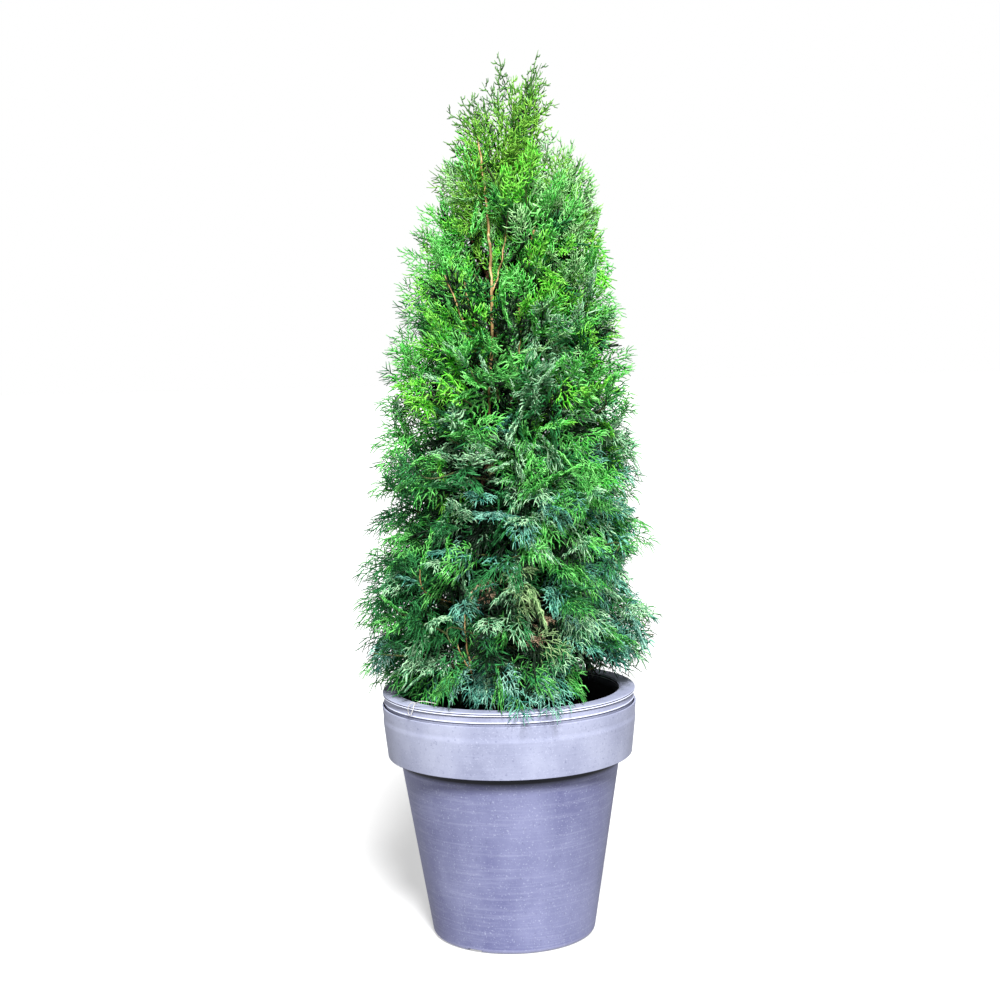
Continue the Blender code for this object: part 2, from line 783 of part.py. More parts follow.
def grow_mass(mass, plan, space, tree, parts, looks, rng):
    """One mass: a core cut clear of the limbs, with stem, twigs and sprays fused on by one union."""
    name = "foliage_" + mass["name"]
    low = mass["stem_from"] + mass["stem_along"] * LIMB_GAP
    high = low + mass["stem_along"] * (STEM_SHARE * (mass["middle"] - low).length)
    stem = cone_between(low, high, BOUGH_TIP_RADIUS, STEM_TAPER * BOUGH_TIP_RADIUS, STEM_SIDES)
    if mass["tier"] == "leader":
        shapes = grow_plume(mass, plan, tree, low, high, rng)
        obj = add_object(name, mesh_from(stem, name), parts)
    else:
        core = core_mesh(mass, plan, rng)
        shapes = [*grow_sprays(mass, plan, tree, core, rng), stem]
        obj = add_object(name, mesh_from(core, name), parts)
        add_boolean(obj, "Clear limbs", "DIFFERENCE", space)
    growth = new_collection("growth")
    for k, shape in enumerate(shapes):
        add_object(f"growth_{k}", mesh_from(shape, "growth"), growth)
    add_boolean(obj, "Fuse", "UNION", growth)
    bpy.context.view_layer.update()
    graph = bpy.context.evaluated_depsgraph_get()
    fused = bpy.data.meshes.new_from_object(obj.evaluated_get(graph))
    obj.modifiers.clear()
    obj.data = fused
    fused.name = name
    fused.materials.clear()
    fused.materials.append(looks[mass["tier"]])
    remove_collection(growth)
    keep_one_body(fused)


def keep_one_body(mesh):
    """Drops loose scraps and fills sealed hollows: only the largest connected surface stays."""
    bm = bmesh.new()
    bm.from_mesh(mesh)
    bmesh.ops.triangulate(bm, faces=bm.faces)
    left = set(bm.verts)
    islands = []
    while left:
        front = [left.pop()]
        island = list(front)
        while front:
            vert = front.pop()
            for edge in vert.link_edges:
                other = edge.other_vert(vert)
                if other in left:
                    left.discard(other)
                    island.append(other)
                    front.append(other)
        islands.append(island)
    islands.sort(key=len)
    for island in islands[:-1]:
        bmesh.ops.delete(bm, geom=island, context="VERTS")
    bm.to_mesh(mesh)
    bm.free()


def main():
    clear_scene()
    parts = new_collection("potted_arborvitae")
    cutters = new_collection("cutters", hidden=True)
    space = new_collection("limb_space", hidden=True)
    looks = {
        "pot": new_material("pot_plastic", "#9EA4C8", 0.62),
        "soil": new_material("potting_soil", "#2A211B", 0.95),
        "bark": new_material("bark", "#8A5A3C", 0.85),
        "skirt": new_material("foliage_skirt", "#3E6B52", 0.6),
        "lower": new_material("foliage_lower", "#3F7350", 0.6),
        "middle": new_material("foliage_middle", "#41803F", 0.6),
        "upper": new_material("foliage_upper", "#4A8F3F", 0.6),
        "shoulder": new_material("foliage_shoulder", "#559A48", 0.6),
        "leader": new_material("foliage_leader", "#5F9C50", 0.6),
    }
    rng = random.Random(SEED)
    build_pot(parts, cutters, looks)
    points, radii = trunk_line()
    limb("trunk", points, radii, TRUNK_SIDES, parts, looks["bark"])
    fatter = [radius + LIMB_GAP for radius in radii]
    trunk_cutter = make_helper(limb("trunk_cutter", points, fatter, TRUNK_SIDES, cutters))
    clearance("space_trunk", points, radii, TRUNK_SIDES, space)
    plan = crown_plan(rng)
    add_boughs(plan, trunk_cutter, parts, space, looks)
    tree = limb_tree(space)
    for mass in plan:
        grow_mass(mass, plan, space, tree, parts, looks, rng)
    remove_collection(space)


main()
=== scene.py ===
"""Looks of the potted emerald green arborvitae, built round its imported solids.

Metres, +Z up, and the front faces -Y. The crown is grown by the same rule as the solids: one trunk,
a bough to each mass, a stem in each mass, then branches, twigs and flat sprays of scale-leaf shoots.
"""

import math
import random

import bmesh
import bpy
import numpy as np
from mathutils import Matrix, Vector, noise


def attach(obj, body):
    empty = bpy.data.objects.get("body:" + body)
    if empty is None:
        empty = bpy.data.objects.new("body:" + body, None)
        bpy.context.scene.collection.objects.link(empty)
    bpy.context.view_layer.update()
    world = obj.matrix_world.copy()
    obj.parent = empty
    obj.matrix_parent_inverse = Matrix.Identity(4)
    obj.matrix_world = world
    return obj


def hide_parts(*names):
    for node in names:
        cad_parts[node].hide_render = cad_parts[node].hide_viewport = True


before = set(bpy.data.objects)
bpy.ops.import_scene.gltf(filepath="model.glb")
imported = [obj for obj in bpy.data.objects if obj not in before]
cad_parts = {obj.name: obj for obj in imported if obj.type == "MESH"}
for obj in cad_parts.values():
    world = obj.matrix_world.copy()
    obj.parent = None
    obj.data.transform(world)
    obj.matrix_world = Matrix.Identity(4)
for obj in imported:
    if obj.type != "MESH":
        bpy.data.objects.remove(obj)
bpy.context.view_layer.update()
MM = 0.001

# Camera, fitted to the pot's ellipses and edges in a picture of 1000 by 1000 pixels
CAMERA_PLACE = (-0.0049, -2.0, 0.6908)
CAMERA_PITCH = math.radians(5.09)
CAMERA_ROLL = math.radians(-1.41)
CAMERA_LENS = 61.8
SENSOR = 36

# Outer pot
COLLAR_TOP_RADIUS = 0.150
COLLAR_LOW_RADIUS = 0.144
COLLAR_TOP = 0.2757
COLLAR_LOW = 0.2145
BODY_TOP_RADIUS = 0.1302
BASE_RADIUS = 0.0958
POT_WALL = 0.003
POT_ROUNDING = 0.0014
FLOOR_UNDER = 0.0045
FLOOR_TOP = FLOOR_UNDER + POT_WALL
LEDGE = COLLAR_LOW + POT_WALL
FOOT_RING_WIDTH = 0.007
FOOT_INSET = 0.0035
MIDDLE_FOOT_RADIUS = 0.020
COLLAR_STEP_DOWN = 0.0135
COLLAR_STEP = 0.0005
DRAIN_COUNT = 3
DRAIN_NOTCH = (0.030, 0.018, 0.006)
DRAIN_NOTCH_INSET = 0.003
DRAIN_HOLE_RADIUS = 0.006
DRAIN_HOLE_DEPTH = 0.02
DRAIN_HOLE_SIDES = 24
DRAIN_HOLE_FROM_MIDDLE = 0.060
FIRST_NOTCH_ANGLE = math.radians(-119.4)
TURNED_SIDES = 144
# The angle from which an edge stays sharp, the most of a side that a rounded corner takes, and its steps
TURNED_SHARP = math.radians(50)
CORNER_SHARE = 0.45
CORNER_STEPS = 4

# Liner pot
LINER_RIM_TOP = 0.2912
LINER_RIM_RADIUS = 0.1486
LINER_MOUTH_RADIUS = 0.1302
LINER_WALL = 0.002
LINER_GAP = 0.0015
LINER_FLOOR = 0.0025
LINER_ROUNDING = 0.0006
SKIRT_LOW = 0.264
TOUCH_GAP = 0.0003
# Painted highlights and painted shade as lines along the rim's edge: how far below its top, half their width,
# and their tint
RIM_PAINTED_LINES = (
    (0.0011, 0.0007, "#C8CCE4"),
    (0.0023, 0.0005, "#2A2E40"),
    (0.0035, 0.0007, "#E4E8F8"),
    (0.0048, 0.0005, "#4A4E66"),
    (0.0116, 0.0007, "#D8DCF0"),
    (0.0130, 0.0006, "#363A50"),
)

# Soil
SOIL_TOP = 0.246
SOIL_RINGS = 30
SOIL_SPOKES = 110
SOIL_WALL_GAP = 0.0005
SOIL_FOOT_GAP = 0.0008
# How far the compost has settled, how far it dips towards the wall and by which radius, and the
# radius round the trunk where its lumps die away
SOIL_SETTLED = 0.0010
SOIL_DIP = 0.003
SOIL_DIP_RADIUS = 0.1
SOIL_LEVEL_RADIUS = 0.02
# Its lumps: how many to a metre, which layer of the noise they are, and their height
SOIL_LUMPS = ((60, 0.3, 0.0035), (170, 0.7, 0.0018))
# Its crumbs: how many, how far from the wall, the share of the surface that they leave free round
# the trunk, their widths in millimetres, and their length to a width
CRUMBS = 900
CRUMB_WALL_GAP = 0.006
CRUMB_FREE = 0.02
CRUMB_WIDTHS = (1.5, 5.0)
CRUMB_LENGTH = 1.3
CRUMB_SHAPE = {"bend": 0.0, "flatness": 0.9, "tip": 0.3}

# Trunk, by the solids' rule
TRUNK_FOOT = SOIL_TOP + TOUCH_GAP
TRUNK_TIP = 0.935
TRUNK_LINE_TOP = 1.000
TRUNK_FOOT_RADIUS = 0.0115
TRUNK_TIP_RADIUS = 0.0016
TRUNK_TAPER = 0.85
ROOT_FLARE = 0.006
ROOT_FLARE_HEIGHT = 0.016
TRUNK_SWAY = 0.016
TRUNK_SWAY_SPAN = 0.75
TRUNK_LEAN = 0.012
TRUNK_DEPTH_SWAY = 0.005
TRUNK_END = 0.01
TRUNK_STEPS = 220
TRUNK_STEP_POWER = 1.1
TRUNK_SIDES = 28
LIMB_SHARP = math.radians(60)
# Relief of the bark, coarse and fine: ridges round a limb, ridges to a metre along it, and their
# height as a share of its radius
BARK_RELIEF = ((1.9, 22, 0.16), (5, 60, 0.10))

# Crown, by the solids' rule
CROWN_PROFILE = (
    (0.285, 0.150),
    (0.330, 0.163),
    (0.380, 0.174),
    (0.450, 0.163),
    (0.600, 0.148),
    (0.690, 0.138),
    (0.740, 0.122),
    (0.800, 0.110),
    (0.860, 0.098),
    (0.910, 0.084),
    (0.960, 0.060),
    (1.022, 0.034),
)
CROWN_LEAN = 0.024
CROWN_LEAN_FROM = 0.35
CROWN_TOP = 1.020
BOUGH_SHARE_OF_TRUNK = 0.46
BOUGH_TIP_RADIUS = 0.0017
BOUGH_MOST_RADIUS = 0.0042
BOUGH_KNEE_OUT = 0.34
BOUGH_KNEE_UP = 0.30
BOUGH_TIP_INSIDE = 0.42
BOUGH_TIP_BELOW = 0.42
BOUGH_STEPS = 36
BOUGH_SIDES = 14
# A bough's foot is thicker by this share, which fades over so many steps
BOUGH_COLLAR = 0.5
BOUGH_COLLAR_STEPS = 4
LEADER_TIP_INSIDE = 0.25
UNEVEN_TIER = 0.018
HEIGHT_CHANCE = 0.004
AZIMUTH_CHANCE = 3
SPACE_SQUASH = 0.62
SEED = 20
CROWN_SEED = 132
# Each tier: name, number of masses, height, first azimuth, how far below its boughs leave the trunk,
# and its masses' half depth, half width and half height
TIERS = (
    ("skirt", 6, 0.352, -80, 0.068, 0.084, 0.090, 0.110),
    ("lower", 6, 0.478, -110, 0.165, 0.080, 0.088, 0.120),
    ("middle", 5, 0.606, -60, 0.150, 0.078, 0.090, 0.120),
    ("upper", 4, 0.730, -42, 0.135, 0.068, 0.088, 0.115),
    ("shoulder", 3, 0.832, -22, 0.125, 0.056, 0.078, 0.100),
)
# Plumes at the top: name, middle, half width, half height, height where the bough leaves the trunk
PLUMES = (
    ("left_leader", (-0.032, -0.006, 0.912), 0.032, 0.044, 0.762),
    ("back_leader", (0.044, 0.026, 0.908), 0.032, 0.044, 0.765),
    ("main_leader", (0.022, -0.002, 0.970), 0.040, 0.048, None),
)

# Branches: the layers from the crown's outline inwards, each with its number of branches, its share
# of the outline's reach, and its pairs of sprays
LAYERS = (
    ("outer", 270, 0.84, 1.00, 2),
    ("second", 132, 0.60, 0.78, 2),
    ("heart", 112, 0.22, 0.52, 1),
)
LOWEST_TIP = 0.305
HIGHEST_TIP = 0.935
HEIGHT_SAMPLES = 400
# Chance in a branch's azimuth and height, how near the border of its mass it is held back, and to
# which share of its reach
BRANCH_AZIMUTH_CHANCE = 0.15
BRANCH_HEIGHT_CHANCE = 0.008
BORDER_WIDTH = 0.045
BORDER_REACH = 0.92
# A branch: its points, the least that it climbs, in degrees, how far before its end it bends, the
# share of it that carries sprays, and its sides
BRANCH_POINTS = 8
BRANCH_LEAST_CLIMB = 20
BRANCH_KNEE = 0.42
BRANCH_LEAFY = 0.78
BRANCH_SIDES = 5
# Its side sprays at its foot and at its tip: their angle and their size, then chance in their
# length and sag, and how many sprays from its tip are full ones
SIDE_SPRAY_ANGLES = (60, 36)
SIDE_SPRAY_SIZES = (1.0, 0.85)
SPRAY_LENGTH_CHANCE = (0.80, 1.1)
SPRAY_SAG_CHANCE = (0.5, 1.4)
FULL_SPRAYS = 4
BRANCH_RADII = (0.0013, 0.0006)
# The stem in each mass: its points, its sides, how far from its foot it bends, how far above its
# mass's middle it ends, and its radius there
STEM_POINTS = 16
STEM_SIDES = 8
STEM_KNEE = 0.5
STEM_ABOVE_MIDDLE = 0.5
STEM_END_RADIUS = 0.0010
# Height against how steeply a branch rises at its tip, in degrees, how far a spray sags, as a share
# of its length, its length in metres, how much its shoots hang, how far up its face looks, in
# degrees, and how widely its side sprays spread
TIP_RISE = ((0.30, -22), (0.40, -18), (0.48, 0), (0.56, 22), (0.66, 40), (0.80, 56), (0.95, 76))
SPRAY_SAG = ((0.30, 0.24), (0.48, 0.28), (0.58, 0.20), (0.68, 0.10), (0.80, 0.0), (1.02, -0.04))
SPRAY_LENGTH = ((0.30, 0.056), (0.50, 0.056), (0.70, 0.056), (0.88, 0.056), (1.02, 0.064))
HANG = ((0.30, 1.0), (0.55, 0.8), (0.70, 0.3), (0.80, -0.2), (1.02, -0.4))
FACE_UP = ((0.30, 38), (0.50, 30), (0.65, 12), (0.80, 0), (1.02, -10))
SPREAD = ((0.30, 1.0), (0.80, 0.85), (0.90, 0.62), (1.02, 0.50))
RISE_CHANCE = 20
TURN_CHANCE = 46
PLANE_CHANCE = 0.42
PAST_OUTLINE = -0.002
INNER_PAST_OUTLINE = -0.016
HIGHEST = 1.024
# What a spray that would leave the crown is shortened to, in turn
SHORTENED = (1.0, 0.85, 0.7)
# How far to the left and to the right a shoot may reach
ACROSS = (-0.181, 0.184)
# The lowest place of a spray's tip, and its lowest over the pot's rim, where only two listed ones hang
LOWEST = 0.280
RIM_CLEAR = 0.303
HEADING_CHANCE = 20
DRY_SHARE = 0.6
# How near its tip a branch that is listed ends in its spray, as a share of the spray's length
HAND_SPRAY = 0.9
# Such a branch faces the front, with this chance, unless it lies nearer to the front than a depth
HAND_FACE_CHANCE = 0.2
HAND_FACE_DEPTH = -0.05
# Dark gaps between the tufts: their size, and below which value of their pattern they lie, by height
GAP_SIZE = 0.034
GAP_LEVEL = ((0.30, -0.24), (0.60, -0.26), (0.75, -0.38), (0.95, -0.60))
# Where along a spray it is tried for a gap
GAP_PROBE = 0.6
# Dark gaps at the front, before a depth: across, height and radius
FRONT_GAP_DEPTH = -0.03
FRONT_GAPS = (
    (-0.033, 0.521, 0.010),
    (-0.095, 0.438, 0.008),
    (-0.077, 0.444, 0.010),
    (-0.061, 0.415, 0.010),
    (-0.051, 0.395, 0.012),
    (0.001, 0.442, 0.010),
    (0.010, 0.422, 0.009),
    (-0.032, 0.346, 0.010),
    (0.054, 0.536, 0.008),
    (0.070, 0.500, 0.009),
    (0.027, 0.456, 0.008),
    (0.060, 0.440, 0.010),
    (0.003, 0.385, 0.009),
    (0.041, 0.331, 0.009),
)

# Sprays, by kind: laterals, their angle to the axis at its foot and at its tip, the longest of them as
# a share of the spray, the forks' pitch as such a share, their angle to their lateral, their length
# as a share of the spray, and how much wider than life the shoots are
KINDS = {
    "fountain": (9, 62, 32, 0.47, 0.088, 34, 0.26, 1.0),
    "feather": (9, 54, 28, 0.43, 0.088, 32, 0.25, 1.0),
    "open": (7, 44, 26, 0.40, 0.14, 38, 0.17, 1.3),
    "spire": (8, 40, 28, 0.25, 0.11, 36, 0.13, 1.25),
    "strand": (9, 32, 20, 0.22, 0.10, 28, 0.14, 1.0),
    "inner": (6, 58, 30, 0.46, 0.11, 32, 0.34, 1.8),
}
PATTERNS = 14
# Which kind grows below a height, and at the top
KIND_BELOW = ((0.60, "fountain"), (0.91, "feather"), (0.95, "open"))
TOP_KIND = "spire"
# A spray's axis, as shares of the spray: its pieces, how far it wavers, how far a piece runs into
# the next one, and its width as a share of a shoot's
AXIS_PIECES = 4
AXIS_WAVER = 0.03
AXIS_OVERLAP = 0.07
AXIS_WIDTH = 0.85
# Its laterals: where the first one stands, how far the last one is from it, chance in their place,
# angle and reach, their curl, from which reach they have two pieces, how far a piece runs into the
# next one, their width, and their last shoot as a share of a fork
LATERAL_FIRST = 0.08
LATERAL_SPAN = 0.86
LATERAL_PLACE_CHANCE = 0.4
LATERAL_ANGLE_CHANCE = 7
LATERAL_REACH_CHANCE = (0.85, 1.15)
LATERAL_CURL = (6, 18)
LATERAL_TWO_PIECES = 0.2
LATERAL_OVERLAP = 0.06
LATERAL_WIDTH = 0.88
LATERAL_END = (0.3, 0.6)
# Their size by place, as a share of the longest: at the spray's foot, from which place on they are
# full, and at its tip, to which they shorten at this rate
LATERAL_FOOT = 0.60
LATERAL_FULL = 0.25
LATERAL_TIP = 0.34
LATERAL_NARROWING = 1.05
# Their forks: chance in their angle and length, and their length at the lateral's tip
FORK_ANGLE_CHANCE = 8
FORK_LENGTH_CHANCE = (0.8, 1.15)
FORK_AT_TIP = 0.72
# How far out a shoot counts, from 0 at a spray's foot to 1 at its edge: the axis and a lateral at
# their ends, and a fork at the foot of its lateral
AXIS_OUT = 0.8
LATERAL_OUT = 0.7
FORK_OUT = 0.4
# How far a spray's sides curl back, how much more they sag than its axis, and chance in where each
# shoot lies and how it bends
CUPPING = 0.45
SIDE_SAG = 1.4
SHOOT_PLACE_CHANCE = 0.0012
SHOOT_BEND_CHANCE = 0.25

# Shoots: their width and its chance, their bend, their flatness, the width of their tips, and their
# lengths of mesh from foot to tip
SHOOT_WIDTH = 1.68 * MM
SHOOT_WIDTH_CHANCE = (0.88, 1.12)
SHOOT_BEND = 4.0
LEADER_BEND = 2.4
SHOOT_FLATNESS = 0.7
SHOOT_TIP = 0.24
SHOOT_LENGTHS = 2
INNER_LENGTHS = 1
SHOOT_SHAPE = {"bend": SHOOT_BEND, "flatness": SHOOT_FLATNESS, "tip": SHOOT_TIP, "lengths": SHOOT_LENGTHS}
# How much wider a shoot is in its middle
FULLNESS = 0.8
# What the shoots' node group is given, and what each point carries for its shoot
SHOOT_INPUTS = (
    ("Points", "Geometry"),
    ("Bend", "Float"),
    ("Flatness", "Float"),
    ("Tip", "Float"),
    ("Lengths", "Int"),
    ("Material", "Material"),
)
POINT_VALUES = (
    ("along", "FLOAT_VECTOR"),
    ("bend_to", "FLOAT_VECTOR"),
    ("length", "FLOAT"),
    ("width", "FLOAT"),
)

# Rim and mouth: from how far past the rim to how far inside its mouth shoots are held above the rim,
# and inside that above the compost, and how far above each
PAST_RIM = 0.003
ABOVE_RIM = 0.0016
INSIDE_MOUTH = 0.004
ABOVE_SOIL = 0.003
# Where the pot's mouth shows at the right: no spray crosses the line of sight to its far wall
HOLLOW_SIDES = (0.083, 0.140)
HOLLOW_TOP = 0.316
SIGHT_SLOPE = 0.19

# Notches in the outline: azimuth, height, depth and half their height, and how fast they narrow
# round the crown
NOTCHES = (
    (0, 0.300, 0.020, 0.022),
    (0, 0.408, 0.030, 0.018),
    (0, 0.440, 0.030, 0.012),
    (0, 0.498, 0.016, 0.012),
    (0, 0.590, 0.012, 0.012),
    (0, 0.645, 0.010, 0.014),
    (180, 0.460, 0.018, 0.014),
    (180, 0.610, 0.016, 0.012),
    (180, 0.800, 0.012, 0.012),
    (180, 1.000, 0.012, 0.018),
    (0, 0.930, 0.030, 0.016),
    (0, 0.970, 0.020, 0.030),
)
NOTCH_NARROWING = 3
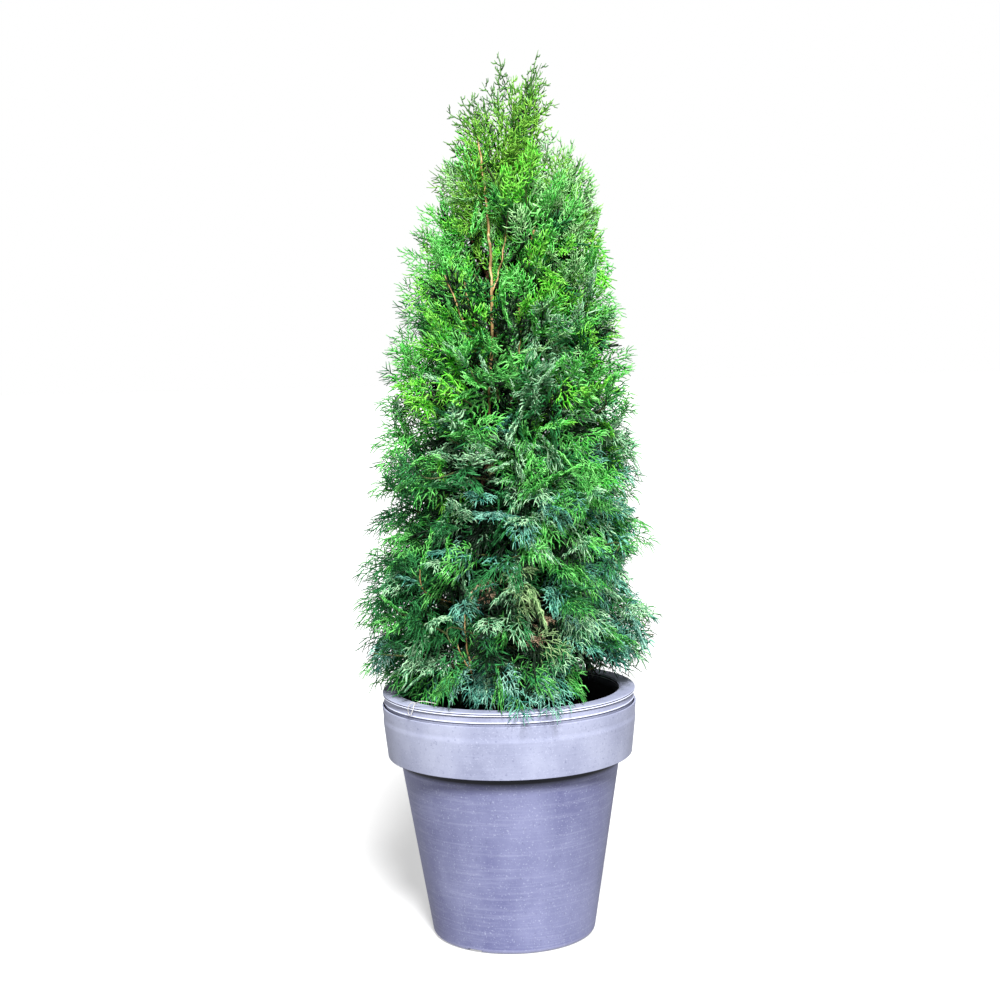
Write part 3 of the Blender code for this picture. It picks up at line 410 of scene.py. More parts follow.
# Branches listed for the outline, the foot and what shows in one place: where the tip is, how steeply it
# rises, to which azimuth it heads, its pairs of sprays, and its tone
# Their tones are darker along the left and right outline, and the rows of the shade tone fill the heart with
# near black: painted shade
OUTLINE_BRANCHES = (
    (0.0005, -0.004, 1.0195, 70, 180, 0, "leader_tip"),
    (0.014, 0.004, 1.012, 80, 0, 0, "leader_tip"),
    (0.030, 0.000, 1.002, 84, 180, 0, "leader_tip"),
    (0.046, -0.004, 1.0195, 78, 0, 0, "leader_tip"),
    (0.0535, 0.004, 1.009, 64, 0, 0, "leader_tip"),
    (0.056, -0.004, 0.991, 56, 0, 0, "leader_tip"),
    (0.062, 0.002, 0.972, 44, 0, 0, "leader_tip"),
    (0.061, 0.006, 0.955, 30, 0, 0, "leader_tip"),
    (-0.009, 0.002, 0.992, 66, 180, 0, "leader_tip"),
    (-0.015, 0.004, 0.978, 76, 180, 0, "leader_tip"),
    (0.030, 0.006, 0.984, 88, 0, 1, "leader_pale"),
    (0.020, -0.018, 0.990, 88, 0, 1, "leader_yellow"),
    (0.038, -0.014, 0.985, 84, 0, 1, "leader_yellow"),
    (0.034, -0.022, 0.962, 80, 0, 1, "leader_yellow"),
    (0.008, -0.024, 0.962, 84, 180, 1, "leader_yellow"),
    (0.044, -0.016, 0.938, 72, 0, 1, "leader_yellow"),
    (0.022, -0.030, 0.930, 84, -90, 2, "leader_yellow"),
    (0.000, -0.030, 0.915, 80, -110, 2, "leader_yellow"),
    (0.030, 0.000, 0.994, 86, 0, 0, "leader_yellow"),
    (0.014, -0.006, 0.992, 80, 180, 0, "leader_yellow"),
    (0.046, -0.004, 0.992, 78, 0, 0, "leader_yellow"),
    (0.053, 0.000, 0.974, 62, 0, 0, "leader_yellow"),
    (0.002, 0.000, 0.978, 74, 180, 0, "leader_pale"),
    (0.038, -0.010, 0.972, 76, 0, 0, "leader_pale"),
    (0.022, -0.012, 0.972, 88, 0, 1, "leader_yellow"),
    (0.024, 0.032, 0.962, 80, 90, 2, "leader_yellow"),
    (0.048, 0.040, 0.925, 70, 60, 2, "leader_pale"),
    (-0.012, 0.036, 0.930, 70, 115, 2, "leader_yellow"),
    (0.018, 0.052, 0.912, 68, 90, 2, "leader_tip"),
    (-0.022, 0.002, 0.971, 66, 180, 0, "leader_tip"),
    (-0.035, -0.002, 0.972, 60, 180, 0, "leader_tip"),
    (-0.045, 0.004, 0.969, 50, 180, 0, "leader_tip"),
    (-0.057, 0.000, 0.954, 30, 180, 0, "leader_tip"),
    (-0.046, 0.004, 0.939, 34, 180, 0, "leader_tip"),
    (-0.050, -0.004, 0.921, 34, 180, 0, "leader_tip"),
    (-0.046, 0.004, 0.901, 40, 180, 0, "leaf"),
    (-0.020, -0.022, 0.950, 76, 180, 1, "leader_yellow"),
    (-0.034, -0.018, 0.942, 66, 180, 1, "leader_yellow"),
    (-0.030, 0.000, 0.956, 68, 180, 0, "leader_yellow"),
    (-0.042, 0.000, 0.948, 52, 180, 0, "leader_yellow"),
    (-0.042, 0.004, 0.926, 46, 180, 0, "leader_yellow"),
    (-0.034, -0.014, 0.912, 60, 180, 1, "leader_yellow"),
    (-0.060, 0.000, 0.896, 40, 180, 1, "leader_tip"),
    (-0.0637, 0.004, 0.885, 36, 180, 1, "leader_yellow"),
    (-0.030, -0.034, 0.890, 70, 210, 2, "leader_yellow"),
    (0.059, -0.002, 0.929, 80, 0, 0, "leader_pale"),
    (0.070, 0.004, 0.922, 78, 0, 0, "leader_pale"),
    (0.080, -0.002, 0.918, 76, 0, 0, "leader_pale"),
    (0.095, 0.004, 0.898, 62, 0, 0, "leader_pale"),
    (0.102, -0.004, 0.881, 54, 0, 1, "leader_pale"),
    (0.108, 0.004, 0.866, 48, 0, 1, "leader_pale"),
    (0.108, -0.004, 0.844, 46, 0, 1, "bright"),
    (0.070, -0.020, 0.895, 80, 0, 1, "leader_pale"),
    (0.060, -0.040, 0.880, 78, -40, 2, "leader_pale"),
    (0.084, -0.026, 0.865, 66, -20, 2, "bright"),
    (0.056, -0.052, 0.850, 76, -60, 2, "leader_pale"),
    (-0.076, 0.004, 0.854, 50, 180, 1, "fresh"),
    (-0.086, 0.000, 0.830, 46, 180, 1, "leaf"),
    (-0.099, -0.004, 0.807, 45, 180, 2, "leaf"),
    (-0.107, 0.004, 0.764, 40, 180, 2, "leaf"),
    (-0.113, -0.006, 0.741, 38, 180, 1, "deep"),
    (-0.117, 0.000, 0.709, 36, 180, 2, "leaf"),
    (-0.126, 0.006, 0.686, 30, 180, 1, "leaf"),
    (-0.132, -0.004, 0.665, 30, 180, 2, "deep"),
    (-0.137, 0.004, 0.630, 26, 180, 2, "leaf"),
    (-0.143, -0.004, 0.585, 24, 180, 2, "leaf"),
    (-0.143, 0.006, 0.558, 16, 180, 1, "deep"),
    (-0.148, 0.000, 0.529, 14, 180, 2, "leaf"),
    (-0.152, -0.006, 0.488, 10, 180, 2, "deep"),
    (-0.158, 0.004, 0.447, 12, 180, 1, "leaf"),
    (-0.168, -0.004, 0.434, 8, 180, 1, "deep"),
    (-0.168, 0.004, 0.395, 4, 180, 2, "leaf"),
    (-0.168, -0.006, 0.378, 0, 180, 1, "leaf"),
    (-0.166, 0.006, 0.346, -4, 180, 2, "deep"),
    (-0.165, -0.004, 0.318, -8, 182, 1, "leaf"),
    (-0.152, -0.020, 0.306, -10, 190, 2, "leaf"),
    (0.112, -0.004, 0.800, 46, 0, 2, "bright"),
    (0.122, 0.004, 0.753, 42, 0, 2, "fresh"),
    (0.130, -0.004, 0.719, 40, 0, 2, "bright"),
    (0.148, 0.000, 0.678, 28, 0, 2, "leaf"),
    (0.152, 0.004, 0.616, 24, 0, 2, "leaf"),
    (0.141, -0.004, 0.590, 18, 0, 1, "deep"),
    (0.152, 0.004, 0.567, 16, 0, 2, "leaf"),
    (0.154, -0.004, 0.537, 12, 0, 2, "deep"),
    (0.149, 0.004, 0.518, 8, 0, 1, "leaf"),
    (0.142, -0.004, 0.486, 6, 0, 1, "deep"),
    (0.163, 0.000, 0.479, 4, 0, 0, "leaf"),
    (0.168, 0.004, 0.460, -2, 0, 0, "leaf"),
    (0.138, 0.000, 0.408, 4, 0, 1, "deep"),
    (0.171, -0.004, 0.370, 4, 0, 0, "leaf"),
    (0.165, 0.004, 0.348, -2, 0, 1, "deep"),
    (0.156, -0.004, 0.326, -8, 0, 1, "leaf"),
    (0.144, 0.010, 0.306, -12, 0, 1, "deep"),
    (0.042, -0.112, 0.637, 30, -70, 2, "grey_green"),
    (0.068, -0.104, 0.604, 20, -50, 2, "fresh"),
    (0.062, -0.108, 0.565, -6, -58, 2, "grey_green"),
    (0.030, -0.118, 0.588, 10, -75, 2, "leaf"),
    (0.012, -0.120, 0.556, 0, -84, 2, "grey_green"),
    (0.034, -0.120, 0.540, -10, -70, 1, "fresh"),
    (0.098, -0.078, 0.629, 34, -36, 2, "leaf"),
    (0.108, -0.078, 0.590, 20, -34, 2, "fresh"),
    (0.020, -0.086, 0.620, 50, -80, 1, "leaf"),
    (0.004, -0.090, 0.590, 40, -90, 1, "grey_green"),
    (-0.034, -0.100, 0.585, 20, -110, 1, "grey_green"),
    (-0.036, -0.092, 0.612, 40, -115, 1, "fresh"),
    (-0.125, -0.062, 0.312, -10, -155, 2, "leaf"),
    (-0.104, -0.088, 0.308, -14, -135, 2, "grey_green"),
    (-0.083, -0.106, 0.303, -16, -122, 1, "leaf"),
    (-0.066, -0.112, 0.305, -18, -112, 1, "sea"),
    (-0.049, -0.116, 0.304, -20, -106, 1, "teal"),
    (-0.034, -0.118, 0.303, -20, -100, 1, "teal"),
    (-0.018, -0.120, 0.302, -22, -96, 1, "sea"),
    (-0.002, -0.126, 0.300, -24, -92, 1, "teal"),
    (0.011, -0.153, 0.290, -30, -88, 0, "teal"),
    (0.028, -0.130, 0.299, -24, -82, 1, "sea"),
    (0.043, -0.150, 0.292, -28, -76, 0, "sea"),
    (0.056, -0.128, 0.299, -22, -70, 1, "teal"),
    (0.026, -0.130, 0.438, 10, -60, 0, "fading"),
    (0.034, -0.126, 0.408, 34, -30, 0, "fading"),
    (0.030, -0.122, 0.384, 20, -120, 0, "dry"),
    (0.052, -0.118, 0.368, 26, -20, 0, "dry"),
    (0.062, -0.112, 0.356, 6, -10, 0, "fading"),
    (0.046, -0.120, 0.350, -20, -60, 0, "dry"),
    (0.070, -0.110, 0.302, -16, -62, 2, "leaf"),
    (0.020, -0.096, 0.314, -12, -85, 2, "teal"),
    (-0.044, -0.106, 0.306, -14, -108, 2, "teal"),
    (-0.014, -0.110, 0.308, -14, -95, 2, "grey_green"),
    (-0.100, 0.080, 0.345, 0, 130, 2, "deep"),
    (-0.060, 0.110, 0.350, 0, 115, 2, "deep"),
    (0.045, -0.130, 0.520, -4, -70, 2, "grey_green"),
    (0.075, -0.116, 0.508, 0, -55, 2, "fresh"),
    (0.100, -0.096, 0.528, 4, -42, 2, "leaf"),
    (0.116, -0.072, 0.502, 0, -30, 2, "leaf"),
    (0.060, -0.128, 0.476, -10, -64, 2, "leaf"),
    (0.088, -0.110, 0.470, -6, -50, 2, "grey_green"),
    (0.110, -0.086, 0.456, -4, -38, 2, "fresh"),
    (0.040, -0.134, 0.455, -12, -76, 1, "grey_green"),
    (0.070, -0.126, 0.436, -10, -60, 2, "leaf"),
    (0.096, -0.106, 0.420, -8, -46, 2, "fresh"),
    (0.118, -0.080, 0.410, -6, -34, 2, "grey_green"),
    (0.082, -0.120, 0.392, -12, -56, 2, "leaf"),
    (0.106, -0.098, 0.374, -10, -44, 2, "grey_green"),
    (0.124, -0.070, 0.358, -8, -30, 2, "leaf"),
    (0.092, -0.110, 0.346, -14, -50, 2, "teal"),
    (0.064, -0.088, 0.745, 48, -50, 2, "fresh"),
    (0.088, -0.066, 0.748, 44, -30, 2, "bright"),
    (0.076, -0.082, 0.712, 40, -45, 2, "leader_pale"),
    (0.100, -0.056, 0.722, 40, -24, 2, "fresh"),
    (-0.050, -0.030, 0.340, 0, 210, 2, "shade"),
    (0.050, 0.000, 0.345, 0, 0, 2, "shade"),
    (0.000, 0.050, 0.340, 0, 90, 2, "shade"),
    (0.080, 0.040, 0.360, 0, 30, 2, "shade"),
    (-0.080, 0.040, 0.360, 0, 150, 2, "shade"),
    (0.000, -0.050, 0.345, 0, -90, 2, "shade"),
    (0.090, -0.030, 0.400, 4, -20, 2, "shade"),
    (0.090, 0.030, 0.450, 4, 20, 2, "shade"),
    (-0.090, -0.020, 0.400, 4, 190, 2, "shade"),
    (0.004, 0.006, 0.944, 84, 180, 1, "leader_yellow"),
    (-0.006, 0.006, 0.932, 80, 180, 1, "leader_yellow"),
    (0.010, -0.004, 0.975, 84, 0, 0, "leader_yellow"),
    (0.026, 0.006, 0.990, 86, 0, 0, "leader_yellow"),
    (0.040, 0.004, 0.998, 80, 0, 0, "leader_yellow"),
    (0.048, 0.000, 0.965, 72, 0, 0, "leader_yellow"),
    (0.036, 0.006, 0.958, 80, 0, 0, "leader_yellow"),
    (0.018, 0.000, 0.958, 86, 0, 0, "leader_pale"),
)

# Young stems that show in the front of the crown, with their radii at foot and tip, and how far to
# each side no spray covers them
FRONT_STEMS = (
    (((-0.012, -0.010, 0.560), (-0.014, -0.046, 0.585), (-0.0145, -0.052, 0.640)), 0.0016, 0.0016, 0.0045),
    (((-0.0145, -0.052, 0.640), (-0.011, -0.054, 0.675), (-0.009, -0.054, 0.705)), 0.0016, 0.0018, 0.0),
    (((-0.009, -0.054, 0.705), (-0.0088, -0.052, 0.760), (-0.0095, -0.048, 0.806), (-0.012, -0.040, 0.850),
      (-0.0175, -0.028, 0.905), (-0.020, -0.020, 0.928)), 0.0018, 0.0009, 0.0070),
    (((-0.0085, -0.052, 0.752), (0.000, -0.050, 0.772), (0.007, -0.045, 0.806), (0.012, -0.036, 0.832)),
     0.0011, 0.0006, 0.0036),
    (((0.004, -0.012, 0.600), (0.016, -0.048, 0.650), (0.021, -0.057, 0.682)), 0.0013, 0.0010, 0.0),
    (((0.021, -0.057, 0.682), (0.0225, -0.060, 0.705), (0.0205, -0.056, 0.745)), 0.0011, 0.0008, 0.0040),
    (((0.016, -0.010, 0.700), (0.028, -0.036, 0.745), (0.035, -0.045, 0.782)), 0.0014, 0.0011, 0.0),
    (((0.035, -0.045, 0.782), (0.040, -0.048, 0.812), (0.049, -0.038, 0.855)), 0.0012, 0.0008, 0.0034),
    (((-0.016, -0.020, 0.640), (-0.030, -0.050, 0.690), (-0.042, -0.064, 0.722)), 0.0014, 0.0010, 0.0),
    (((-0.042, -0.064, 0.722), (-0.048, -0.068, 0.738), (-0.060, -0.071, 0.772)), 0.0011, 0.0007, 0.0042),
    (((-0.014, -0.020, 0.660), (-0.025, -0.046, 0.704), (-0.033, -0.057, 0.732)), 0.0012, 0.0008, 0.0),
    (((-0.033, -0.057, 0.732), (-0.036, -0.060, 0.746), (-0.039, -0.060, 0.766)), 0.0009, 0.0006, 0.0036),
    (((-0.014, -0.014, 0.262), (-0.030, -0.050, 0.298), (-0.041, -0.082, 0.320)), 0.0022, 0.0016, 0.0),
    (((-0.041, -0.082, 0.320), (-0.043, -0.090, 0.334), (-0.046, -0.092, 0.354), (-0.048, -0.086, 0.392)),
     0.0012, 0.0007, 0.0080),
    (((-0.043, -0.090, 0.330), (-0.052, -0.096, 0.344), (-0.057, -0.096, 0.362)), 0.0008, 0.0005, 0.0070),
    (((-0.044, -0.091, 0.338), (-0.037, -0.096, 0.350), (-0.034, -0.096, 0.364)), 0.0008, 0.0005, 0.0070),
    (((-0.060, -0.050, 0.400), (-0.092, -0.096, 0.420), (-0.096, -0.102, 0.446)), 0.0009, 0.0005, 0.0050),
)
# A dry stalk that loops over the front left of the rim
DRY_STALK = (
    (-0.082, -0.112, 0.2965),
    (-0.098, -0.108, 0.2985),
    (-0.106, -0.104, 0.2945),
    (-0.1085, -0.1050, 0.2880),
    (-0.1110, -0.1040, 0.2820),
    (-0.1135, -0.1020, 0.2835),
    (-0.1135, -0.1020, 0.2910),
    (-0.1090, -0.1030, 0.2960),
    (-0.1030, -0.1040, 0.2945),
)
DRY_STALK_RADIUS = 0.0005
DRY_STALK_SIDES = 6
# A stem's steps from point to point, how far it wanders between its ends, over which length, and
# the shifts of the noise for its three axes
STEM_STEPS = 10
STEM_WANDER = 0.0025
STEM_WANDER_SPAN = 0.016
WANDER_SHIFTS = (0, 40, 80)
YOUNG_STEM_SIDES = 10
# A spray covers such a stem if one of these places on it is nearer to the front by more than this
COVER_PROBES = (0.05, 0.35, 0.65, 0.95)
COVER_BY = 0.0005
# Side twigs on such a stem: every how many points of its path, and their least and greatest length,
# angle, lean to the back and width
TWIG_EVERY = 3
TWIG_LENGTHS = (0.008, 0.020)
TWIG_ANGLES = (22, 50)
TWIG_LEANS = (-0.5, 0.2)
TWIG_WIDTHS = (0.8, 1.1)
# A fork on such a twig: how often, where, how far along the stem and aside it heads, and its width
TWIG_FORK_CHANCE = 0.6
TWIG_FORK_AT = 0.45
TWIG_FORK_ALONG = 0.8
TWIG_FORK_ASIDE = 0.4
TWIG_FORK_WIDTH = 0.9
# Narrow sprays on such a stem: every how many points of its path, their angles to it, their lengths,
# their lean to the back where the stem shows and where it is covered, and chance in how they face
STRAND_EVERY = 2
STRAND_ANGLES = (12, 34)
STRAND_LENGTHS = (0.026, 0.052)
STRAND_LEANS_CLEAR = (0.05, 0.40)
STRAND_LEANS_COVERED = (-0.45, -0.10)
STRAND_FACE_CHANCE = (0.4, 0.3)

# Tones of the shoots: each is (a scale leaf, its painted highlight, the tone under it, darker for painted
# shade, its slot)
TONES = {
    "leader_yellow": ("#488E1E", "#92CE4E", "under", "foliage_leader"),
    "leader_pale": ("#5EA656", "#BEEAAA", "under", "foliage_leader"),
    "leader_tip": ("#35632A", "#74A858", "under", "foliage_leader"),
    "bright": ("#40B41A", "#A2F064", "under", "foliage_shoulder"),
    "fresh": ("#34A82E", "#9AEE8A", "under", "foliage_upper"),
    "leaf": ("#1E7A26", "#7CD670", "under", "foliage_middle"),
    "under": ("#1A641E", "#389236", "deep", "foliage_upper"),
    "deep": ("#0C4C20", "#3A9450", "shade", "foliage_middle"),
    "grey_green": ("#4C9062", "#C4EEC0", "deep", "foliage_lower"),
    "teal": ("#1E6A5C", "#8CD4B6", "shade", "foliage_lower"),
    "sea": ("#327264", "#A4DAC2", "shade", "foliage_skirt"),
    "shade": ("#031808", "#0A2C12", "shade", "foliage_lower"),
    "fading": ("#5E8850", "#A8C48C", "deep", "foliage_lower"),
    "dry": ("#8C7058", "#D6BC9E", "dry", "foliage_skirt"),
}
# Tones of what lies under the lit shoots, dark for painted shade, drawn with fewer faces
UNDER_TONES = ("under", "deep", "shade")
# Height against the weight of each tone, for the crown's surface
TONE_WEIGHTS = (
    (0.29, {"sea": 4, "teal": 3, "grey_green": 3, "leaf": 0.5, "deep": 2}),
    (0.42, {"sea": 2, "teal": 3, "grey_green": 4, "leaf": 1.5, "deep": 3}),
    (0.52, {"teal": 1.5, "grey_green": 3, "leaf": 3, "deep": 2, "fresh": 2}),
    (0.62, {"teal": 0.3, "grey_green": 3, "leaf": 3, "deep": 1, "fresh": 4, "bright": 2}),
    (0.74, {"grey_green": 0.4, "leaf": 2, "fresh": 5, "bright": 6}),
    (0.84, {"leader_pale": 2, "fresh": 3, "bright": 5, "leader_yellow": 1, "leader_tip": 0.2}),
    (0.95, {"leader_pale": 2, "fresh": 1, "bright": 1, "leader_yellow": 4, "leader_tip": 2}),
)
# Where the shoots are dry and fading: middle and radius
DRY_PATCHES = (
    (0.044, -0.104, 0.368, 0.026),
    (0.034, -0.110, 0.404, 0.022),
    (0.026, -0.108, 0.434, 0.018),
)
# Tones that prevail together, in patches of a size, and how strongly
PALE_TONES = ("sea", "grey_green", "leader_pale", "teal", "leader_tip")
PATCH_SIZE = 0.060
PATCH_STRENGTH = 2.2
# How strong the paler tones are, as painted light and shade that darken the sides and the left: below a
# height from the crown's middle to its sides, and above it from its left to its right over a width, as the
# deep tone is
PALE_LOW = 0.62
PALE_MIDDLE = 0.04
PALE_REACH = 0.15
MIDDLE_TO_SIDES = (1.5, 0.35)
TONE_WIDTH = 0.20
LEFT_TO_RIGHT = (0.6, 2.0)
DEEP_LEFT_TO_RIGHT = (3.0, 0.4)
# Chance in the height that a tone is picked for, the height up to which the inside is painted dark as shade,
# and how much of the second layer is as dark as the heart
TONE_HEIGHT_CHANCE = 0.02
DARK_UP_TO = 0.84
DARK_SHARE = 0.5
# The most shoots in a piece, how far out a shoot takes its spray's own tone, those nearer the foot taking the
# darker tone under it as painted shade, and how many sprays share their branch's tone
SHOOTS_A_PIECE = 14000
OUTER_SHOOT = 0.36
SHARED_TONE = 0.45

# Stage
FLOOR_HALF = 30
FLOOR_BELOW = 0.0005
FLOOR_COLOUR = "#B4B4B4"
BACKDROP = 1.0
ROOM_LIGHT = 0.24
FLOOR_GLOW = 0.50
SUN = 7.9
SUN_WIDTH = 14
SUN_FROM = (0.10, -0.77, 0.80)


def between(low, high, share):
    """The value at a share of the way from low to high."""
    return low + (high - low) * share


def read_profile(profile, at):
    """The value of a list of (place, value) pairs at a place, in straight lines between them."""
    if at <= profile[0][0]:
        return profile[0][1]
    for (z0, v0), (z1, v1) in zip(profile, profile[1:]):
        if at <= z1:
            return between(v0, v1, (at - z0) / (z1 - z0))
    return profile[-1][1]


# Nodes and colours


def linear(hex_colour):
    """An sRGB hex colour as linear red, green, blue and alpha."""
    parts = [int(hex_colour[k : k + 2], 16) / 255 for k in (1, 3, 5)]
    return (*[((c + 0.055) / 1.055) ** 2.4 if c > 0.04045 else c / 12.92 for c in parts], 1.0)


def set_inputs(tree, node, inputs):
    """Sets inputs of a node, by name or number, to values, or links them from sockets or nodes."""
    for name, value in inputs.items():
        if isinstance(value, bpy.types.Node):
            value = next(socket for socket in value.outputs if socket.enabled)
        if isinstance(value, bpy.types.NodeSocket):
            tree.links.new(value, node.inputs[name])
        else:
            node.inputs[name].default_value = value


def add_node(tree, kind, inputs=None, stops=(), **settings):
    """Adds a node with its settings and inputs, and a colour ramp with its (value, hex colour) stops."""
    node = tree.nodes.new(kind)
    for name, value in settings.items():
        setattr(node, name, value)
    set_inputs(tree, node, inputs or {})
    if stops:
        elements = node.color_ramp.elements
        while len(elements) < len(stops):
            elements.new(0.5)
        for element, (place, colour) in zip(elements, stops):
            element.position = place
            element.color = linear(colour)
    return node


def new_material(name):
    """A Principled material, with its node tree, its shader and its object coordinates."""
    material = bpy.data.materials.new(name)
    material.use_nodes = True
    tree = material.node_tree
    coords = add_node(tree, "ShaderNodeTexCoord").outputs["Object"]
    return material, tree, tree.nodes["Principled BSDF"], coords


def sized(vector, size_mm, detail):
    """Inputs of a noise texture whose blotches are about size_mm wide."""
    return {"Vector": vector, "Scale": 1 / (size_mm * MM), "Detail": detail, "Roughness": 0.6}


def lay_over(tree, colour, *covers):
    """A colour under one cover after another, each where its pattern runs from low to high.

    A cover is (its colour, its pattern, low, high, the most that it hides)."""
    for cover, pattern, low, high, most in covers:
        limits = {"From Min": low, "From Max": high, "To Min": 0.0, "To Max": most}
        amount = add_node(tree, "ShaderNodeMapRange", {"Value": pattern, **limits})
        colour = add_node(tree, "ShaderNodeMix", {0: amount, 6: colour, 7: cover}, data_type="RGBA")
    return colour


def moulded_polypropylene(name, damp_and_shade_within=None):
    """Matte moulded polypropylene, which weathers to a chalky lilac-grey with fine pale dust on it.

    Within a radius it may be painted black, for damp and for shade, as a liner is inside its mouth."""
    material, tree, shader, coords = new_material(name)
    place = add_node(tree, "ShaderNodeSeparateXYZ", {0: coords})
    height = place.outputs["Z"]
    # The weather bleaches it in clouds, and the collar is paler than the body
    tall = add_node(tree, "ShaderNodeMapping", {"Vector": coords, "Scale": (1, 1, 1 / 1.5)})
    clouds = add_node(tree, "ShaderNodeTexNoise", sized(tall, 70, 5.0))
    tones = ((0.32, "#5C5E84"), (0.50, "#6D7092"), (0.68, "#7B7E9F"))
    body = add_node(tree, "ShaderNodeValToRGB", {0: clouds}, tones)
    tones = ((0.32, "#80849C"), (0.50, "#9195AC"), (0.68, "#9FA3B8"))
    collar = add_node(tree, "ShaderNodeValToRGB", {0: clouds}, tones)
    # Wiping leaves faint level streaks
    level = add_node(tree, "ShaderNodeMapping", {"Vector": coords, "Scale": (1 / 14, 1 / 14, 2)})
    streaks = add_node(tree, "ShaderNodeTexNoise", sized(level, 5, 4.0))
    # Dust and dirt in grains about 1 mm wide, coarser than life so that they show
    dust = add_node(tree, "ShaderNodeTexNoise", sized(coords, 2.2, 2.0))
    dirt = add_node(tree, "ShaderNodeTexNoise", sized(coords, 3.1, 2.0))
    colour = lay_over(
        tree,
        body,
        (collar, height, COLLAR_LOW - 0.0005, COLLAR_LOW + 0.0010, 1.0),
        # Painted highlight: the foot's edge is paler
        (linear("#9698B8"), height, 0.006, 0.002, 1.0),
        (linear("#9EA2BC"), streaks, 0.50, 0.74, 0.30),
        (linear("#B4B8CE"), dust, 0.60, 0.72, 0.42),
        (linear("#505472"), dirt, 0.60, 0.74, 0.40),
    )
    # Painted shadow: a near black band on the body just under the collar
    below = (colour, height, COLLAR_LOW - 0.0074, COLLAR_LOW - 0.0124, 1.0)
    above = (colour, height, COLLAR_LOW + 0.0002, COLLAR_LOW + 0.0006, 1.0)
    colour = lay_over(tree, linear("#0C0F1C"), below, above)
    # Painted highlights on the rim's beads, and painted shade in the grooves between them
    for down, half, tint in RIM_PAINTED_LINES:
        off = add_node(tree, "ShaderNodeMath", {0: height, 1: LINER_RIM_TOP - down}, operation="SUBTRACT")
        off = add_node(tree, "ShaderNodeMath", {0: off}, operation="ABSOLUTE")
        colour = lay_over(tree, colour, (linear(tint), off, half, half * 0.6, 0.85))
    # Inside the mouth it is painted near black, for damp and for shade
    if damp_and_shade_within:
        flat = add_node(tree, "ShaderNodeCombineXYZ", {0: place.outputs["X"], 1: place.outputs["Y"]})
        away = add_node(tree, "ShaderNodeVectorMath", {0: flat}, operation="LENGTH").outputs["Value"]
        damp_and_shade = (linear("#14121A"), away, damp_and_shade_within, damp_and_shade_within - 0.0012, 1.0)
        colour = lay_over(tree, colour, damp_and_shade)
    limits = {"From Min": 0.3, "From Max": 0.7, "To Min": 0.50, "To Max": 0.68}
    chalky = add_node(tree, "ShaderNodeMapRange", {"Value": clouds, **limits})
    grain = add_node(tree, "ShaderNodeBump", {"Height": dust, "Distance": 0.25 * MM, "Strength": 0.35})
    finish = {"Base Color": colour, "Roughness": chalky, "Specular IOR Level": 0.3, "Normal": grain}
    set_inputs(tree, shader, finish)
    return material


def moist_compost():
    """Moist potting compost: near black, with paler fibres and a dull sheen where it is wet."""
    material, tree, shader, coords = new_material("moist_compost")
    fibres = add_node(tree, "ShaderNodeTexNoise", sized(coords, 7, 5.0))
    tones = ((0.35, "#0B0705"), (0.6, "#1A120D"), (0.8, "#33261B"))
    colour = add_node(tree, "ShaderNodeValToRGB", {0: fibres}, tones)
    crumbs = add_node(tree, "ShaderNodeTexNoise", sized(coords, 3, 4.0))
    crumbly = add_node(tree, "ShaderNodeBump", {"Height": crumbs, "Distance": 1.5 * MM, "Strength": 0.6})
    set_inputs(tree, shader, {"Base Color": colour, "Roughness": 0.85, "Normal": crumbly})
    return material


def fibrous_bark(name, dark, mean, light):
    """Thin fibrous bark that peels in long strips, red-brown below and orange where it is young."""
    material, tree, shader, coords = new_material(name)
    long = add_node(tree, "ShaderNodeMapping", {"Vector": coords, "Scale": (1, 1, 1 / 9)})
    fibres = add_node(tree, "ShaderNodeTexNoise", sized(long, 1.6, 4.0))
    tones = ((0.32, dark), (0.50, mean), (0.70, light))
    strips = add_node(tree, "ShaderNodeValToRGB", {0: fibres}, tones)
    # Painted shade: darker lengths along the bark, in blotches
    lengths = add_node(tree, "ShaderNodeTexNoise", sized(coords, 14, 1.0))
    colour = lay_over(tree, strips, (linear(dark), lengths, 0.50, 0.62, 0.6))
    ridged = add_node(tree, "ShaderNodeBump", {"Height": fibres, "Distance": 0.5 * MM, "Strength": 0.6})
    set_inputs(tree, shader, {"Base Color": colour, "Roughness": 0.78, "Normal": ridged})
    return material


def scale_leaf(name, colour, light):
    """Overlapping scale leaves 2 to 3 mm long, waxy, with painted highlights: paler blotches on each shoot
    and paler whole shoots.
    """
    material, tree, shader, coords = new_material(name)
    scales = add_node(tree, "ShaderNodeTexNoise", sized(coords, 2.6, 1.0))
    shoots = add_node(tree, "ShaderNodeTexNoise", sized(coords, 9, 0.0))
    painted_highlight = linear(light)
    mottled = lay_over(
        tree, linear(colour), (painted_highlight, shoots, 0.46, 0.60, 0.55), (painted_highlight, scales, 0.48, 0.72, 0.8)
    )
    scaly = add_node(tree, "ShaderNodeBump", {"Height": scales, "Distance": 0.5 * MM, "Strength": 0.5})
    waxy = {"Base Color": mottled, "Roughness": 0.55, "Specular IOR Level": 0.3, "Normal": scaly}
    set_inputs(tree, shader, waxy)
    return material


# Meshes


def add_object(name, mesh, material=None):
    """An object of a mesh in the scene, with its one material."""
    obj = bpy.data.objects.new(name, mesh)
    bpy.context.scene.collection.objects.link(obj)
    if material:
        mesh.materials.clear()
        mesh.materials.append(material)
    return obj


def mesh_from(bm, name):
    """A mesh of what has been built, which it frees."""
    mesh = bpy.data.meshes.new(name)
    bm.to_mesh(mesh)
    bm.free()
    return mesh


def finish_piece(obj, replaced=()):
    """Lets a finished piece ride on the one body, and hides the parts that it replaces."""
    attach(obj, "root")
    if replaced:
        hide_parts(*replaced)


def bezier_path(start, knee, tip, steps):
    """Points along a bend from a start to a tip, which heads for a knee on its way."""
    shares = [k / steps for k in range(steps + 1)]
    return [start * (1 - t) ** 2 + knee * (2 * t * (1 - t)) + tip * t**2 for t in shares]


